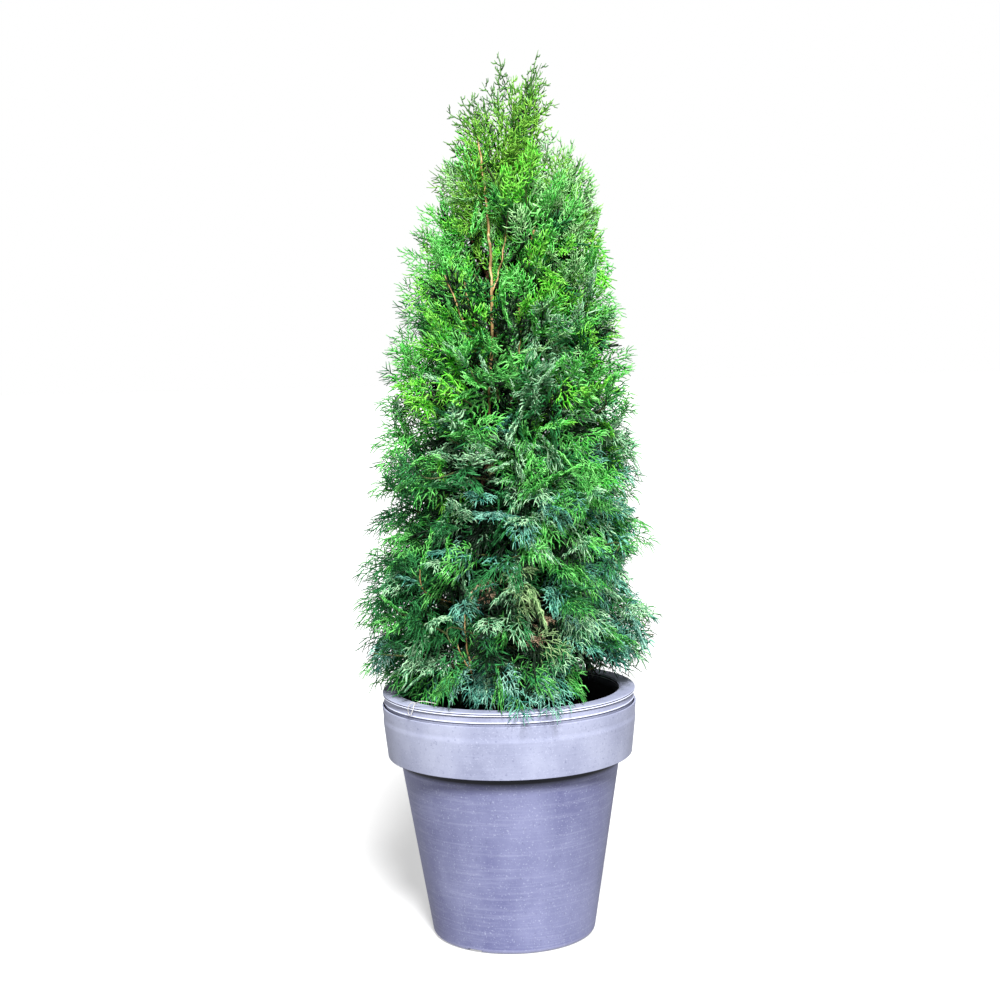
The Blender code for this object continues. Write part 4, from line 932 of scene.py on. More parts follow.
def rounded(points, radius):
    """A profile with each inner corner rounded to a radius, or to what its shorter side allows."""
    made = [points[0]]
    for before, at, after in zip(points, points[1:], points[2:]):
        before, at, after = Vector(before), Vector(at), Vector(after)
        into, out = at - before, after - at
        cut = min(radius, into.length * CORNER_SHARE, out.length * CORNER_SHARE)
        start = at - into.normalized() * cut
        end = at + out.normalized() * cut
        made += [tuple(p) for p in bezier_path(start, at, end, CORNER_STEPS)]
    return made + [points[-1]]


def turned(name, profile, material):
    """A turned solid from (radius, height) points that run from its inside out and down its outer side."""
    rings = np.array([p for p in profile if p[0] > 0], dtype=float)
    angles = np.arange(TURNED_SIDES) * math.tau / TURNED_SIDES
    around = np.stack([np.cos(angles), np.sin(angles)], axis=1)
    places = rings[:, None, 0, None] * around[None]
    heights = np.broadcast_to(rings[:, None, 1, None], (*places.shape[:2], 1))
    verts = np.concatenate([places, heights], axis=2).reshape(-1, 3).tolist()
    verts += [(0, 0, profile[0][1]), (0, 0, profile[-1][1])]
    first, last = len(verts) - 2, len(verts) - 1
    faces = []
    for k in range(len(rings) - 1):
        for a in range(TURNED_SIDES):
            b = (a + 1) % TURNED_SIDES
            low, high = k * TURNED_SIDES, (k + 1) * TURNED_SIDES
            faces.append((low + a, high + a, high + b, low + b))
    top = (len(rings) - 1) * TURNED_SIDES
    for a in range(TURNED_SIDES):
        b = (a + 1) % TURNED_SIDES
        faces.append((first, a, b))
        faces.append((last, top + b, top + a))
    mesh = bpy.data.meshes.new(name)
    mesh.from_pydata(verts, [], faces)
    obj = add_object(name, mesh, material)
    mesh.shade_smooth()
    mesh.set_sharp_from_angle(angle=TURNED_SHARP)
    return obj


# Pots


def body_radius(z):
    """Outer radius of the cover pot's tapered body at a height."""
    return between(BASE_RADIUS, BODY_TOP_RADIUS, z / COLLAR_LOW)


def collar_radius(z):
    """Outer radius of the cover pot's collar at a height."""
    return between(COLLAR_LOW_RADIUS, COLLAR_TOP_RADIUS, (z - COLLAR_LOW) / (COLLAR_TOP - COLLAR_LOW))


def outer_pot_profile():
    """The cover pot: a plain tapered body, a wide collar with a shallow step, and a foot ring."""
    foot_in = BASE_RADIUS - FOOT_INSET - FOOT_RING_WIDTH
    step = COLLAR_TOP - COLLAR_STEP_DOWN
    fine = [
        (COLLAR_TOP_RADIUS - 0.0025, COLLAR_TOP),
        (COLLAR_TOP_RADIUS - COLLAR_STEP, COLLAR_TOP),
        (collar_radius(step) - COLLAR_STEP, step),
        (collar_radius(step), step - 0.0050),
        (COLLAR_LOW_RADIUS, COLLAR_LOW + 0.0004),
        (COLLAR_LOW_RADIUS - 0.0004, COLLAR_LOW),
        (BODY_TOP_RADIUS, COLLAR_LOW),
    ]
    foot = [
        (body_radius(0.004), 0.004),
        (BASE_RADIUS - 0.0012, 0.0012),
        (BASE_RADIUS - FOOT_INSET, 0),
        (foot_in, 0),
        (foot_in - 0.001, FLOOR_UNDER),
        (MIDDLE_FOOT_RADIUS + 0.001, FLOOR_UNDER),
        (MIDDLE_FOOT_RADIUS, 0),
        (0, 0),
    ]
    inside = [
        (0, FLOOR_TOP),
        (body_radius(FLOOR_TOP) - POT_WALL, FLOOR_TOP),
        (BODY_TOP_RADIUS - POT_WALL, LEDGE),
        (COLLAR_LOW_RADIUS - POT_WALL, LEDGE),
    ]
    return rounded(inside + fine + foot, POT_ROUNDING)


def liner_inner_radius(z):
    """Inner radius of the liner at a height: it follows the body, and bends at the collar's ledge."""
    inset = POT_WALL + LINER_GAP + LINER_WALL
    low = body_radius(FLOOR_TOP) - inset
    bend = BODY_TOP_RADIUS - inset
    return read_profile(((FLOOR_TOP, low), (LEDGE, bend), (LINER_RIM_TOP, LINER_MOUTH_RADIUS)), z)


def liner_profile():
    """The liner: a flat rolled rim with two round beads on its edge, a short face and a third bead."""
    foot = FLOOR_TOP + TOUCH_GAP
    floor_top = foot + LINER_FLOOR
    rim, mouth, top = LINER_RIM_RADIUS, LINER_MOUTH_RADIUS, LINER_RIM_TOP
    face = rim - 0.0021
    under = top - 0.0027
    return rounded(
        [
            (0, floor_top),
            (liner_inner_radius(floor_top), floor_top),
            (liner_inner_radius(LEDGE), LEDGE),
            (mouth - 0.0002, top - 0.0010),
            (mouth + 0.0012, top),
            (rim - 0.0006, top),
            (rim, top - 0.0006),
            (rim, top - 0.0016),
            (rim - 0.0015, top - 0.0020),
            (rim - 0.0015, top - 0.0026),
            (rim - 0.0002, top - 0.0030),
            (rim - 0.0002, top - 0.0040),
            (face - 0.0002, top - 0.0046),
            (face, top - 0.0052),
            (face - 0.0002, top - 0.0106),
            (face + 0.0009, top - 0.0112),
            (face + 0.0009, top - 0.0121),
            (face - 0.0004, top - 0.0128),
            (face - 0.0015, SKIRT_LOW),
            (face - 0.0033, SKIRT_LOW),
            (face - 0.0024, under - 0.0020),
            (mouth + LINER_WALL + 0.0011, under),
            (liner_inner_radius(LEDGE) + LINER_WALL, LEDGE),
            (liner_inner_radius(foot) + LINER_WALL, foot),
            (0, foot),
        ],
        LINER_ROUNDING,
    )


def cut_drains(pot):
    """Cuts the notches in the foot ring and the holes in the floor."""
    for k in range(DRAIN_COUNT):
        turn = Matrix.Rotation(FIRST_NOTCH_ANGLE + k * math.tau / DRAIN_COUNT, 4, "Z")
        notch = bmesh.new()
        bmesh.ops.create_cube(notch, size=1)
        bmesh.ops.scale(notch, vec=DRAIN_NOTCH, verts=notch.verts)
        out = Vector((BASE_RADIUS - DRAIN_NOTCH_INSET, 0, 0))
        bmesh.ops.transform(notch, matrix=turn @ Matrix.Translation(out), verts=notch.verts)
        hole = bmesh.new()
        bmesh.ops.create_cone(
            hole,
            cap_ends=True,
            segments=DRAIN_HOLE_SIDES,
            radius1=DRAIN_HOLE_RADIUS,
            radius2=DRAIN_HOLE_RADIUS,
            depth=DRAIN_HOLE_DEPTH,
        )
        out = Vector((DRAIN_HOLE_FROM_MIDDLE, 0, FLOOR_TOP))
        bmesh.ops.transform(hole, matrix=turn @ Matrix.Translation(out), verts=hole.verts)
        for name, shape in (("notch", notch), ("hole", hole)):
            cutter = add_object(name, mesh_from(shape, name))
            cut = pot.modifiers.new(name, "BOOLEAN")
            cut.operation = "DIFFERENCE"
            cut.object = cutter
            apply_modifiers(pot)
            bpy.data.objects.remove(cutter, do_unlink=True)


def apply_modifiers(obj):
    """Replaces an object's mesh by what its modifiers make of it, and removes them."""
    bpy.context.view_layer.update()
    graph = bpy.context.evaluated_depsgraph_get()
    made = bpy.data.meshes.new_from_object(obj.evaluated_get(graph))
    obj.modifiers.clear()
    obj.data = made
    return made


def build_pots():
    """The cover pot with its drains, and the liner that hangs in it, painted black inside its mouth for damp
    and shade.
    """
    pot = turned("cover_pot", outer_pot_profile(), moulded_polypropylene("matte_polypropylene"))
    cut_drains(pot)
    finish_piece(pot, ["outer_pot"])
    damp_and_shade = moulded_polypropylene("damp_shaded_polypropylene", LINER_MOUTH_RADIUS)
    liner = turned("liner_pot_rolled_rim", liner_profile(), damp_and_shade)
    finish_piece(liner, ["liner_pot"])


# Soil


def soil_surface(x, y):
    """Height of the lumpy surface, which rises a little to the trunk and dips towards the wall."""
    reach = math.hypot(x, y)
    lumps = sum(noise.noise(Vector((x, y, layer)) * many) * high for many, layer, high in SOIL_LUMPS)
    dip = SOIL_DIP * min(1.0, reach / SOIL_DIP_RADIUS)
    return SOIL_TOP - SOIL_SETTLED - dip + lumps * min(1.0, reach / SOIL_LEVEL_RADIUS)


def build_soil(rng):
    """The compost as one closed body that fills the liner, and loose crumbs on its surface."""
    compost = moist_compost()
    edge = liner_inner_radius(SOIL_TOP) - SOIL_WALL_GAP
    foot = liner_inner_radius(FLOOR_TOP + LINER_FLOOR) - SOIL_FOOT_GAP
    low = FLOOR_TOP + LINER_FLOOR + 2 * TOUCH_GAP
    bm = bmesh.new()
    middle = bm.verts.new((0, 0, soil_surface(0, 0)))
    spokes = [math.tau * a / SOIL_SPOKES for a in range(SOIL_SPOKES)]
    rings = []
    for k in range(1, SOIL_RINGS + 1):
        radius = edge * k / SOIL_RINGS
        places = [(radius * math.cos(turn), radius * math.sin(turn)) for turn in spokes]
        rings.append([bm.verts.new((x, y, soil_surface(x, y))) for x, y in places])
    bottom = [bm.verts.new((foot * math.cos(turn), foot * math.sin(turn), low)) for turn in spokes]
    rings.append(bottom)
    for a in range(SOIL_SPOKES):
        b = (a + 1) % SOIL_SPOKES
        bm.faces.new((middle, rings[0][a], rings[0][b]))
        for near, far in zip(rings, rings[1:]):
            bm.faces.new((near[a], far[a], far[b], near[b]))
    bm.faces.new(bottom[::-1])
    bmesh.ops.recalc_face_normals(bm, faces=bm.faces)
    soil = add_object("compost_surface", mesh_from(bm, "compost_surface"), compost)
    soil.data.shade_smooth()
    finish_piece(soil, ["potting_soil"])
    places, ways, sides, widths = [], [], [], []
    for _ in range(CRUMBS):
        turn = rng.uniform(0, math.tau)
        radius = (edge - CRUMB_WALL_GAP) * math.sqrt(rng.uniform(CRUMB_FREE, 1))
        x, y = radius * math.cos(turn), radius * math.sin(turn)
        places.append((x, y, soil_surface(x, y)))
        ways.append([rng.gauss(0, 1) for _ in range(3)])
        sides.append([rng.gauss(0, 1) for _ in range(3)])
        widths.append(rng.uniform(*CRUMB_WIDTHS) * MM)
    lengths = [w * CRUMB_LENGTH for w in widths]
    values = {"along": ways, "bend_to": sides, "length": lengths, "width": widths}
    crumbs = scatter("compost_crumbs", places, values, compost, **CRUMB_SHAPE)
    finish_piece(crumbs, ["potting_soil"])


# Geometry Nodes: one small finger on every point


def shoot_tree():
    """A node group that puts one curved shoot, a closed finger of a few faces, on every point.

    A point carries where its shoot goes, which way it bends, its length and its width."""
    tree = bpy.data.node_groups.new("Shoots on points", "GeometryNodeTree")
    for name, kind in SHOOT_INPUTS:
        tree.interface.new_socket(name, in_out="INPUT", socket_type="NodeSocket" + kind)
    tree.interface.new_socket("Geometry", in_out="OUTPUT", socket_type="NodeSocketGeometry")
    given = add_node(tree, "NodeGroupInput").outputs
    sizes = {"Vertices": 3, "Side Segments": given["Lengths"], "Depth": 1.0}
    radii = {"Radius Top": given["Tip"], "Radius Bottom": 0.5}
    cone = add_node(tree, "GeometryNodeMeshCone", {**sizes, **radii}, fill_type="NGON")
    position = add_node(tree, "GeometryNodeInputPosition")
    x, y, z = add_node(tree, "ShaderNodeSeparateXYZ", {0: position}).outputs
    # The middle is full, and bows away from the side that the shoot bends to
    bow = add_node(tree, "ShaderNodeMath", {0: z, 1: z}, operation="MULTIPLY")
    bow = add_node(tree, "ShaderNodeMath", {0: bow, 1: z}, operation="SUBTRACT")
    girth = add_node(tree, "ShaderNodeMath", {0: bow, 1: -FULLNESS, 2: 1.0}, operation="MULTIPLY_ADD")
    bow = add_node(tree, "ShaderNodeMath", {0: bow, 1: given["Bend"]}, operation="MULTIPLY")
    wide = add_node(tree, "ShaderNodeMath", {0: x, 1: girth, 2: bow}, operation="MULTIPLY_ADD")
    deep = add_node(tree, "ShaderNodeMath", {0: y, 1: girth}, operation="MULTIPLY")
    deep = add_node(tree, "ShaderNodeMath", {0: deep, 1: given["Flatness"]}, operation="MULTIPLY")
    place = add_node(tree, "ShaderNodeCombineXYZ", {0: wide, 1: deep, 2: z})
    finger = add_node(tree, "GeometryNodeSetPosition", {"Geometry": cone.outputs["Mesh"], "Position": place})
    read = {}
    for name, kind in POINT_VALUES:
        read[name] = add_node(tree, "GeometryNodeInputNamedAttribute", {"Name": name}, data_type=kind)
    turn = add_node(
        tree,
        "FunctionNodeAxesToRotation",
        {"Primary Axis": read["along"], "Secondary Axis": read["bend_to"]},
        primary_axis="Z",
        secondary_axis="X",
    )
    scale = add_node(tree, "ShaderNodeCombineXYZ", {0: read["width"], 1: read["width"], 2: read["length"]})
    inputs = {"Points": given["Points"], "Instance": finger, "Rotation": turn, "Scale": scale}
    copies = add_node(tree, "GeometryNodeInstanceOnPoints", inputs)
    real = add_node(tree, "GeometryNodeRealizeInstances", {"Geometry": copies})
    dressed = add_node(tree, "GeometryNodeSetMaterial", {"Geometry": real, "Material": given["Material"]})
    add_node(tree, "NodeGroupOutput", {0: dressed})
    return tree


SHOOTS = shoot_tree()


def scatter(name, starts, values, material, **shape):
    """One joined piece of fingers, one on each start, by the values that each start carries.

    Its shape may say the fingers' bend, flatness, tip and lengths, where they aren't a shoot's."""
    points = bpy.data.meshes.new(name + "_points")
    points.vertices.add(len(starts))
    points.vertices.foreach_set("co", np.asarray(starts, dtype=np.float32).ravel())
    for attribute, kind in POINT_VALUES:
        made = points.attributes.new(attribute, kind, "POINT")
        field = "vector" if kind == "FLOAT_VECTOR" else "value"
        made.data.foreach_set(field, np.asarray(values[attribute], dtype=np.float32).ravel())
    obj = add_object(name, points)
    grow = obj.modifiers.new("Shoots", "NODES")
    grow.node_group = SHOOTS
    given = {item.name: item.identifier for item in SHOOTS.interface.items_tree if item.in_out == "INPUT"}
    grow[given["Material"]] = material
    for socket, value in {**SHOOT_SHAPE, **shape}.items():
        grow[given[socket.capitalize()]] = value
    made = apply_modifiers(obj)
    for attribute, _ in POINT_VALUES:
        if attribute in made.attributes:
            made.attributes.remove(made.attributes[attribute])
    made.shade_smooth()
    return obj


# Limbs


def trunk_centre(z):
    """The trunk's middle line: a slow sway, and a lean to the right at the tip."""
    s = (z - TRUNK_FOOT) / (TRUNK_LINE_TOP - TRUNK_FOOT)
    x = -TRUNK_SWAY * math.sin(math.pi * s / TRUNK_SWAY_SPAN) + TRUNK_LEAN * s**4
    y = TRUNK_DEPTH_SWAY * math.sin(math.tau * s)
    return Vector((x, y, z))


def trunk_radius(z):
    """The trunk's taper, with the flare of its root."""
    s = (z - TRUNK_FOOT) / (TRUNK_TIP - TRUNK_FOOT)
    flare = ROOT_FLARE * math.exp(-(z - TRUNK_FOOT) / ROOT_FLARE_HEIGHT)
    return between(TRUNK_FOOT_RADIUS, TRUNK_TIP_RADIUS, min(s, 1.0) ** TRUNK_TAPER) + flare


def tapering(foot, tip, steps):
    """Radii that run evenly from a limb's foot to its tip."""
    return [between(foot, tip, k / steps) for k in range(steps + 1)]


class Tubes:
    """Tapered tubes gathered into one mesh, each closed at both ends and rough if asked."""

    def __init__(self):
        self.verts = []
        self.faces = []

    def add(self, points, radii, sides, relief=None):
        first = len(self.verts)
        ahead = [points[min(k + 1, len(points) - 1)] - points[max(k - 1, 0)] for k in range(len(points))]
        across = ahead[0].orthogonal().normalized()
        for point, radius, way in zip(points, radii, ahead):
            way = way.normalized()
            across = (across - way * across.dot(way)).normalized()
            other = way.cross(across)
            for a in range(sides):
                turn = math.tau * a / sides
                grown = radius * (1 + (relief(turn, point) if relief else 0))
                self.verts.append(point + (across * math.cos(turn) + other * math.sin(turn)) * grown)
        for k in range(len(points) - 1):
            low, high = first + k * sides, first + (k + 1) * sides
            for a in range(sides):
                b = (a + 1) % sides
                self.faces.append((low + a, low + b, high + b, high + a))
        last = first + (len(points) - 1) * sides
        self.faces.append([first + a for a in reversed(range(sides))])
        self.faces.append([last + a for a in range(sides)])

    def piece(self, name, material):
        mesh = bpy.data.meshes.new(name)
        mesh.from_pydata([tuple(v) for v in self.verts], [], self.faces)
        obj = add_object(name, mesh, material)
        mesh.shade_smooth()
        mesh.set_sharp_from_angle(angle=LIMB_SHARP)
        return obj


def peeling(turn, point):
    """Relief of the bark: long shallow ridges, which wander and break along the limb."""
    x, y = math.cos(turn), math.sin(turn)
    return sum(
        noise.noise(Vector((x * around, y * around, point.z * along))) * high
        for around, along, high in BARK_RELIEF
    )


def crown_middle(z):
    """The crown's middle line, which leans a little to the right."""
    lean = max(0.0, z - CROWN_LEAN_FROM) / (CROWN_TOP - CROWN_LEAN_FROM)
    return Vector((CROWN_LEAN * lean, 0, z))


def crown_plan():
    """Every mass of foliage as the solids have it: name, tier, middle, outward way, half sizes, bough."""
    rng = random.Random(SEED)
    plan = []
    for name, count, height, first, rise, depth, width, tall in TIERS:
        for k in range(count):
            azimuth = math.radians(first + 360 * k / count + rng.uniform(-AZIMUTH_CHANCE, AZIMUTH_CHANCE))
            z = height + UNEVEN_TIER * (-1) ** k + rng.uniform(-HEIGHT_CHANCE, HEIGHT_CHANCE)
            outward = Vector((math.cos(azimuth), math.sin(azimuth), 0))
            plan.append(
                {
                    "name": f"{name}_{k + 1}",
                    "tier": name,
                    "middle": crown_middle(z) + outward * (read_profile(CROWN_PROFILE, z) - depth),
                    "outward": outward,
                    "half": (depth, width, tall),
                    "leaves_at": height - rise + rng.uniform(-HEIGHT_CHANCE, HEIGHT_CHANCE),
                }
            )
    for name, middle, width, tall, leaves_at in PLUMES:
        middle = Vector(middle)
        outward = middle - trunk_centre(min(middle.z, TRUNK_TIP))
        outward.z = 0
        plan.append(
            {
                "name": name,
                "tier": "leader",
                "middle": middle,
                "outward": outward.normalized(),
                "half": (width, width, tall),
                "leaves_at": leaves_at,
            }
        )
    return plan


def build_limbs(plan):
    """The trunk and every bough, with the bark's relief. Each mass learns where its stem starts."""
    old_bark = fibrous_bark("old_fibrous_bark", "#352015", "#5E3C27", "#8E6444")
    trunk = Tubes()
    shares = [(k / TRUNK_STEPS) ** TRUNK_STEP_POWER for k in range(TRUNK_STEPS + 1)]
    heights = [between(TRUNK_FOOT, TRUNK_TIP, share) for share in shares]
    points = [trunk_centre(z) for z in heights]
    trunk.add(points, [trunk_radius(z) for z in heights], TRUNK_SIDES, peeling)
    finish_piece(trunk.piece("trunk_bark", old_bark), ["trunk"])
    boughs = Tubes()
    names = []
    for mass in plan:
        if mass["leaves_at"] is None:
            tip = trunk_centre(TRUNK_TIP)
            mass["stem_from"] = tip
            mass["stem_along"] = (tip - trunk_centre(TRUNK_TIP - TRUNK_END)).normalized()
            continue
        depth, _, tall = mass["half"]
        inside = LEADER_TIP_INSIDE if mass["tier"] == "leader" else BOUGH_TIP_INSIDE
        tip = mass["middle"] - mass["outward"] * (inside * depth) - Vector((0, 0, BOUGH_TIP_BELOW * tall))
        start = trunk_centre(mass["leaves_at"])
        reach = (tip - start).length
        knee = start + (mass["outward"] * BOUGH_KNEE_OUT + Vector((0, 0, BOUGH_KNEE_UP))) * reach
        root = min(BOUGH_MOST_RADIUS, BOUGH_SHARE_OF_TRUNK * trunk_radius(mass["leaves_at"]))
        points = bezier_path(start, knee, tip, BOUGH_STEPS)
        collar = [1 + BOUGH_COLLAR * math.exp(-k / BOUGH_COLLAR_STEPS) for k in range(BOUGH_STEPS + 1)]
        radii = [r * c for r, c in zip(tapering(root, BOUGH_TIP_RADIUS, BOUGH_STEPS), collar)]
        boughs.add(points, radii, BOUGH_SIDES, peeling)
        mass["stem_from"] = tip
        mass["stem_along"] = (points[-1] - points[-3]).normalized()
        names.append("bough_" + mass["name"])
    finish_piece(boughs.piece("bough_bark", old_bark), names)


# Sprays


def spray_pattern(kind, rng):
    """One flat spray of length 1: a wavering axis, side shoots by turns, and forks on each of them.

    A shoot is (start x, start y, end x, end y, width share, how far out it is), y along the spray."""
    laterals, foot_angle, tip_angle, longest, pitch, fork_angle, fork_length, width = KINDS[kind]
    shoots = []
    waver = [0.0] + [rng.uniform(-AXIS_WAVER, AXIS_WAVER) for _ in range(AXIS_PIECES)]

    def axis(t):
        k = min(int(t * AXIS_PIECES), AXIS_PIECES - 1)
        return between(waver[k], waver[k + 1], t * AXIS_PIECES - k)

    for k in range(AXIS_PIECES):
        low, high = k / AXIS_PIECES, (k + 1) / AXIS_PIECES
        shoots.append((axis(low), low, axis(high), high + AXIS_OVERLAP, AXIS_WIDTH * width, high * AXIS_OUT))
    for k in range(laterals):
        share = LATERAL_FIRST + LATERAL_SPAN * (k + LATERAL_PLACE_CHANCE * rng.random()) / (laterals - 1)
        hand = -1 if k % 2 else 1
        angle = between(foot_angle, tip_angle, share)
        turn = hand * math.radians(angle + rng.uniform(-LATERAL_ANGLE_CHANCE, LATERAL_ANGLE_CHANCE))
        rising = min(1.0, between(LATERAL_FOOT, 1.0, share / LATERAL_FULL))
        taper = rising * min(1.0, LATERAL_TIP + LATERAL_NARROWING * (1 - share))
        reach = longest * taper * rng.uniform(*LATERAL_REACH_CHANCE)
        curl = hand * math.radians(rng.uniform(*LATERAL_CURL))
        x, y = axis(share), share
        steps = 2 if reach > LATERAL_TWO_PIECES else 1
        forks = max(1, round(reach / pitch))
        for step in range(steps):
            way = turn - curl * step
            length = reach / steps
            end = (x + math.sin(way) * length, y + math.cos(way) * length)
            for fork in range(forks):
                # The forks stand evenly, with the last one near the lateral's tip
                along = (fork + 0.75) / (forks + 0.25)
                if not step / steps <= along < (step + 1) / steps:
                    continue
                local = along * steps - step
                fx, fy = between(x, end[0], local), between(y, end[1], local)
                side = -hand if fork % 2 else hand
                angle = fork_angle + rng.uniform(-FORK_ANGLE_CHANCE, FORK_ANGLE_CHANCE)
                out = way + side * math.radians(angle)
                size = fork_length * between(1.0, FORK_AT_TIP, along) * rng.uniform(*FORK_LENGTH_CHANCE)
                tip = (fx + math.sin(out) * size, fy + math.cos(out) * size)
                shoots.append((fx, fy, *tip, width, max(share, between(FORK_OUT, 1.0, along))))
            over = LATERAL_OVERLAP if step < steps - 1 else fork_length * rng.uniform(*LATERAL_END)
            overlap = (end[0] + math.sin(way) * over, end[1] + math.cos(way) * over)
            out = max(share, (step + 1) / steps * LATERAL_OUT)
            shoots.append((x, y, *overlap, LATERAL_WIDTH * width, out))
            x, y = end
    return np.array(shoots)


def steer(azimuth, rise):
    """A unit way that heads along an azimuth and climbs by an angle."""
    return Vector((math.cos(azimuth) * math.cos(rise), math.sin(azimuth) * math.cos(rise), math.sin(rise)))


def nearest_mass(point, plan, middles):
    """The mass whose space holds a point, and how far the point is from that space's border."""
    apart = np.linalg.norm(middles - np.array((point.x, point.y, point.z * SPACE_SQUASH)), axis=1)
    near = np.sort(apart)
    return plan[int(np.argmin(apart))], near[1] - near[0]


def crown_heights(count, power):
    """Heights of branch tips, dealt by the crown's width to a power: 1 for its surface, 2 for its inside."""
    heights = np.linspace(LOWEST_TIP, HIGHEST_TIP, HEIGHT_SAMPLES)
    weights = np.array([read_profile(CROWN_PROFILE, z) for z in heights]) ** power
    total = np.cumsum(weights)
    return np.interp((np.arange(count) + 0.5) / count * total[-1], total, heights)


def grow_stems(plan):
    """The stem of each mass, from its bough's tip up through its middle."""
    for mass in plan:
        low, along = mass["stem_from"], mass["stem_along"]
        above = 0 if mass["tier"] == "leader" else STEM_ABOVE_MIDDLE * mass["half"][2]
        high = mass["middle"] + Vector((0, 0, above))
        knee = low + along * (STEM_KNEE * (high - low).length)
        mass["stem"] = bezier_path(low, knee, high, STEM_POINTS)


def spray_kind(z):
    """The kind of spray that grows on the surface at a height."""
    return next((kind for top, kind in KIND_BELOW if z < top), TOP_KIND)


def surface_facing(place):
    """The way a spray's face looks where it lies on the crown: outwards, and up where it is low."""
    away = place - crown_middle(place.z)
    return steer(math.atan2(away.y, away.x), math.radians(read_profile(FACE_UP, place.z)))


def grow_branch(mass, tip, way, pairs, facing, tone, layer, rng):
    """A branch from the mass's stem to a tip, with sprays by turns along it and one at its end."""
    z = tip.z
    size = read_profile(SPRAY_LENGTH, z)
    by_hand = layer == "hand"
    raised = Vector((0, 0, read_profile(SPRAY_SAG, z) * HAND_SPRAY * size if by_hand else 0))
    wood_end = tip + raised - way * (HAND_SPRAY * size)
    away = Vector((wood_end.x - mass["middle"].x, wood_end.y - mass["middle"].y, 0)).length
    climb = math.tan(math.radians(max(BRANCH_LEAST_CLIMB, read_profile(TIP_RISE, z))))
    start = min(mass["stem"], key=lambda p: abs(p.z - (wood_end.z - away * climb)))
    reach = (wood_end - start).length
    path = bezier_path(start, wood_end - way * (BRANCH_KNEE * reach), wood_end, BRANCH_POINTS)
    spread = read_profile(SPREAD, z)
    sprays = []
    wood = 0
    first_hand = rng.choice((-1, 1))
    for k in range(2 * pairs + 1):
        share = 1 - k / (2 * pairs + 1) * BRANCH_LEAFY
        at = share * BRANCH_POINTS
        low = min(int(at), BRANCH_POINTS - 1)
        root = path[low].lerp(path[low + 1], at - low)
        tangent = (path[low + 1] - path[low]).normalized()
        plane = (facing + Vector([rng.gauss(0, PLANE_CHANCE) for _ in range(3)])).normalized()
        plane = (plane - tangent * plane.dot(tangent)).normalized()
        side = plane.cross(tangent) * (first_hand if k % 2 else -first_hand)
        exact = by_hand and k == 0
        chance = rng.gauss(0, 0 if exact else HEADING_CHANCE)
        angle = math.radians((0 if k == 0 else between(*SIDE_SPRAY_ANGLES, share) * spread) + chance)
        heading = (tangent * math.cos(angle) + side * math.sin(angle)).normalized()
        if exact:
            long, sagging = HAND_SPRAY, 1
        else:
            long = between(*SIDE_SPRAY_SIZES, share) * rng.uniform(*SPRAY_LENGTH_CHANCE)
            sagging = rng.uniform(*SPRAY_SAG_CHANCE)
        full = layer in ("outer", "hand") and k < FULL_SPRAYS
        spray = {
            "root": root,
            "way": heading,
            "facing": plane,
            "past": PAST_OUTLINE if layer in ("outer", "hand") else INNER_PAST_OUTLINE,
            "length": size * long,
            "sag": read_profile(SPRAY_SAG, z) * sagging,
            "hang": read_profile(HANG, z),
            "kind": spray_kind(z) if full else "inner",
            "tone": tone if exact or rng.random() < SHARED_TONE else pick_tone(root, layer, rng),
        }
        if spray["tone"] == "dry":
            spray["length"] *= DRY_SHARE
            spray["kind"] = "open"
        in_front = layer == "outer" and in_gap(root + heading * (GAP_PROBE * spray["length"]))
        if exact or (keep_within_reach(spray) and not covers_stem(spray) and not in_front):
            sprays.append(spray)
            wood = max(wood, math.ceil(at))
    return {"mass": mass, "path": path[: wood + 1] if sprays else None, "sprays": sprays}


def crown_reach(place):
    """How far the crown reaches from its middle towards a place, less where its outline has a notch."""
    reach = read_profile(CROWN_PROFILE, place.z)
    away = place - crown_middle(place.z)
    for azimuth, height, depth, half in NOTCHES:
        turn = math.atan2(away.y, away.x) - math.radians(azimuth)
        facing = max(0.0, math.cos(turn)) ** NOTCH_NARROWING
        reach -= depth * math.exp(-(((place.z - height) / half) ** 2)) * facing
    return reach


def keep_within_reach(spray):
    """Shortens a spray that would leave the crown, and says whether enough of it is left."""
    full = spray["length"]
    for share in SHORTENED:
        tip = spray["root"] + spray["way"] * (full * share)
        tip.z -= spray["sag"] * full * share
        away = tip - crown_middle(tip.z)
        within = math.hypot(away.x, away.y) < crown_reach(tip) + spray["past"]
        lowest = RIM_CLEAR if math.hypot(tip.x, tip.y) > LINER_MOUTH_RADIUS else LOWEST
        if within and lowest < tip.z < HIGHEST and not in_hollow(tip):
            spray["length"] = full * share
            return True
    return False


def in_gap(place):
    """Whether a place on the crown's surface lies in a dark gap between tufts."""
    if noise.noise(place / GAP_SIZE) < read_profile(GAP_LEVEL, place.z):
        return True
    if place.y > FRONT_GAP_DEPTH:
        return False
    return any(math.hypot(place.x - x, place.z - z) < radius for x, z, radius in FRONT_GAPS)


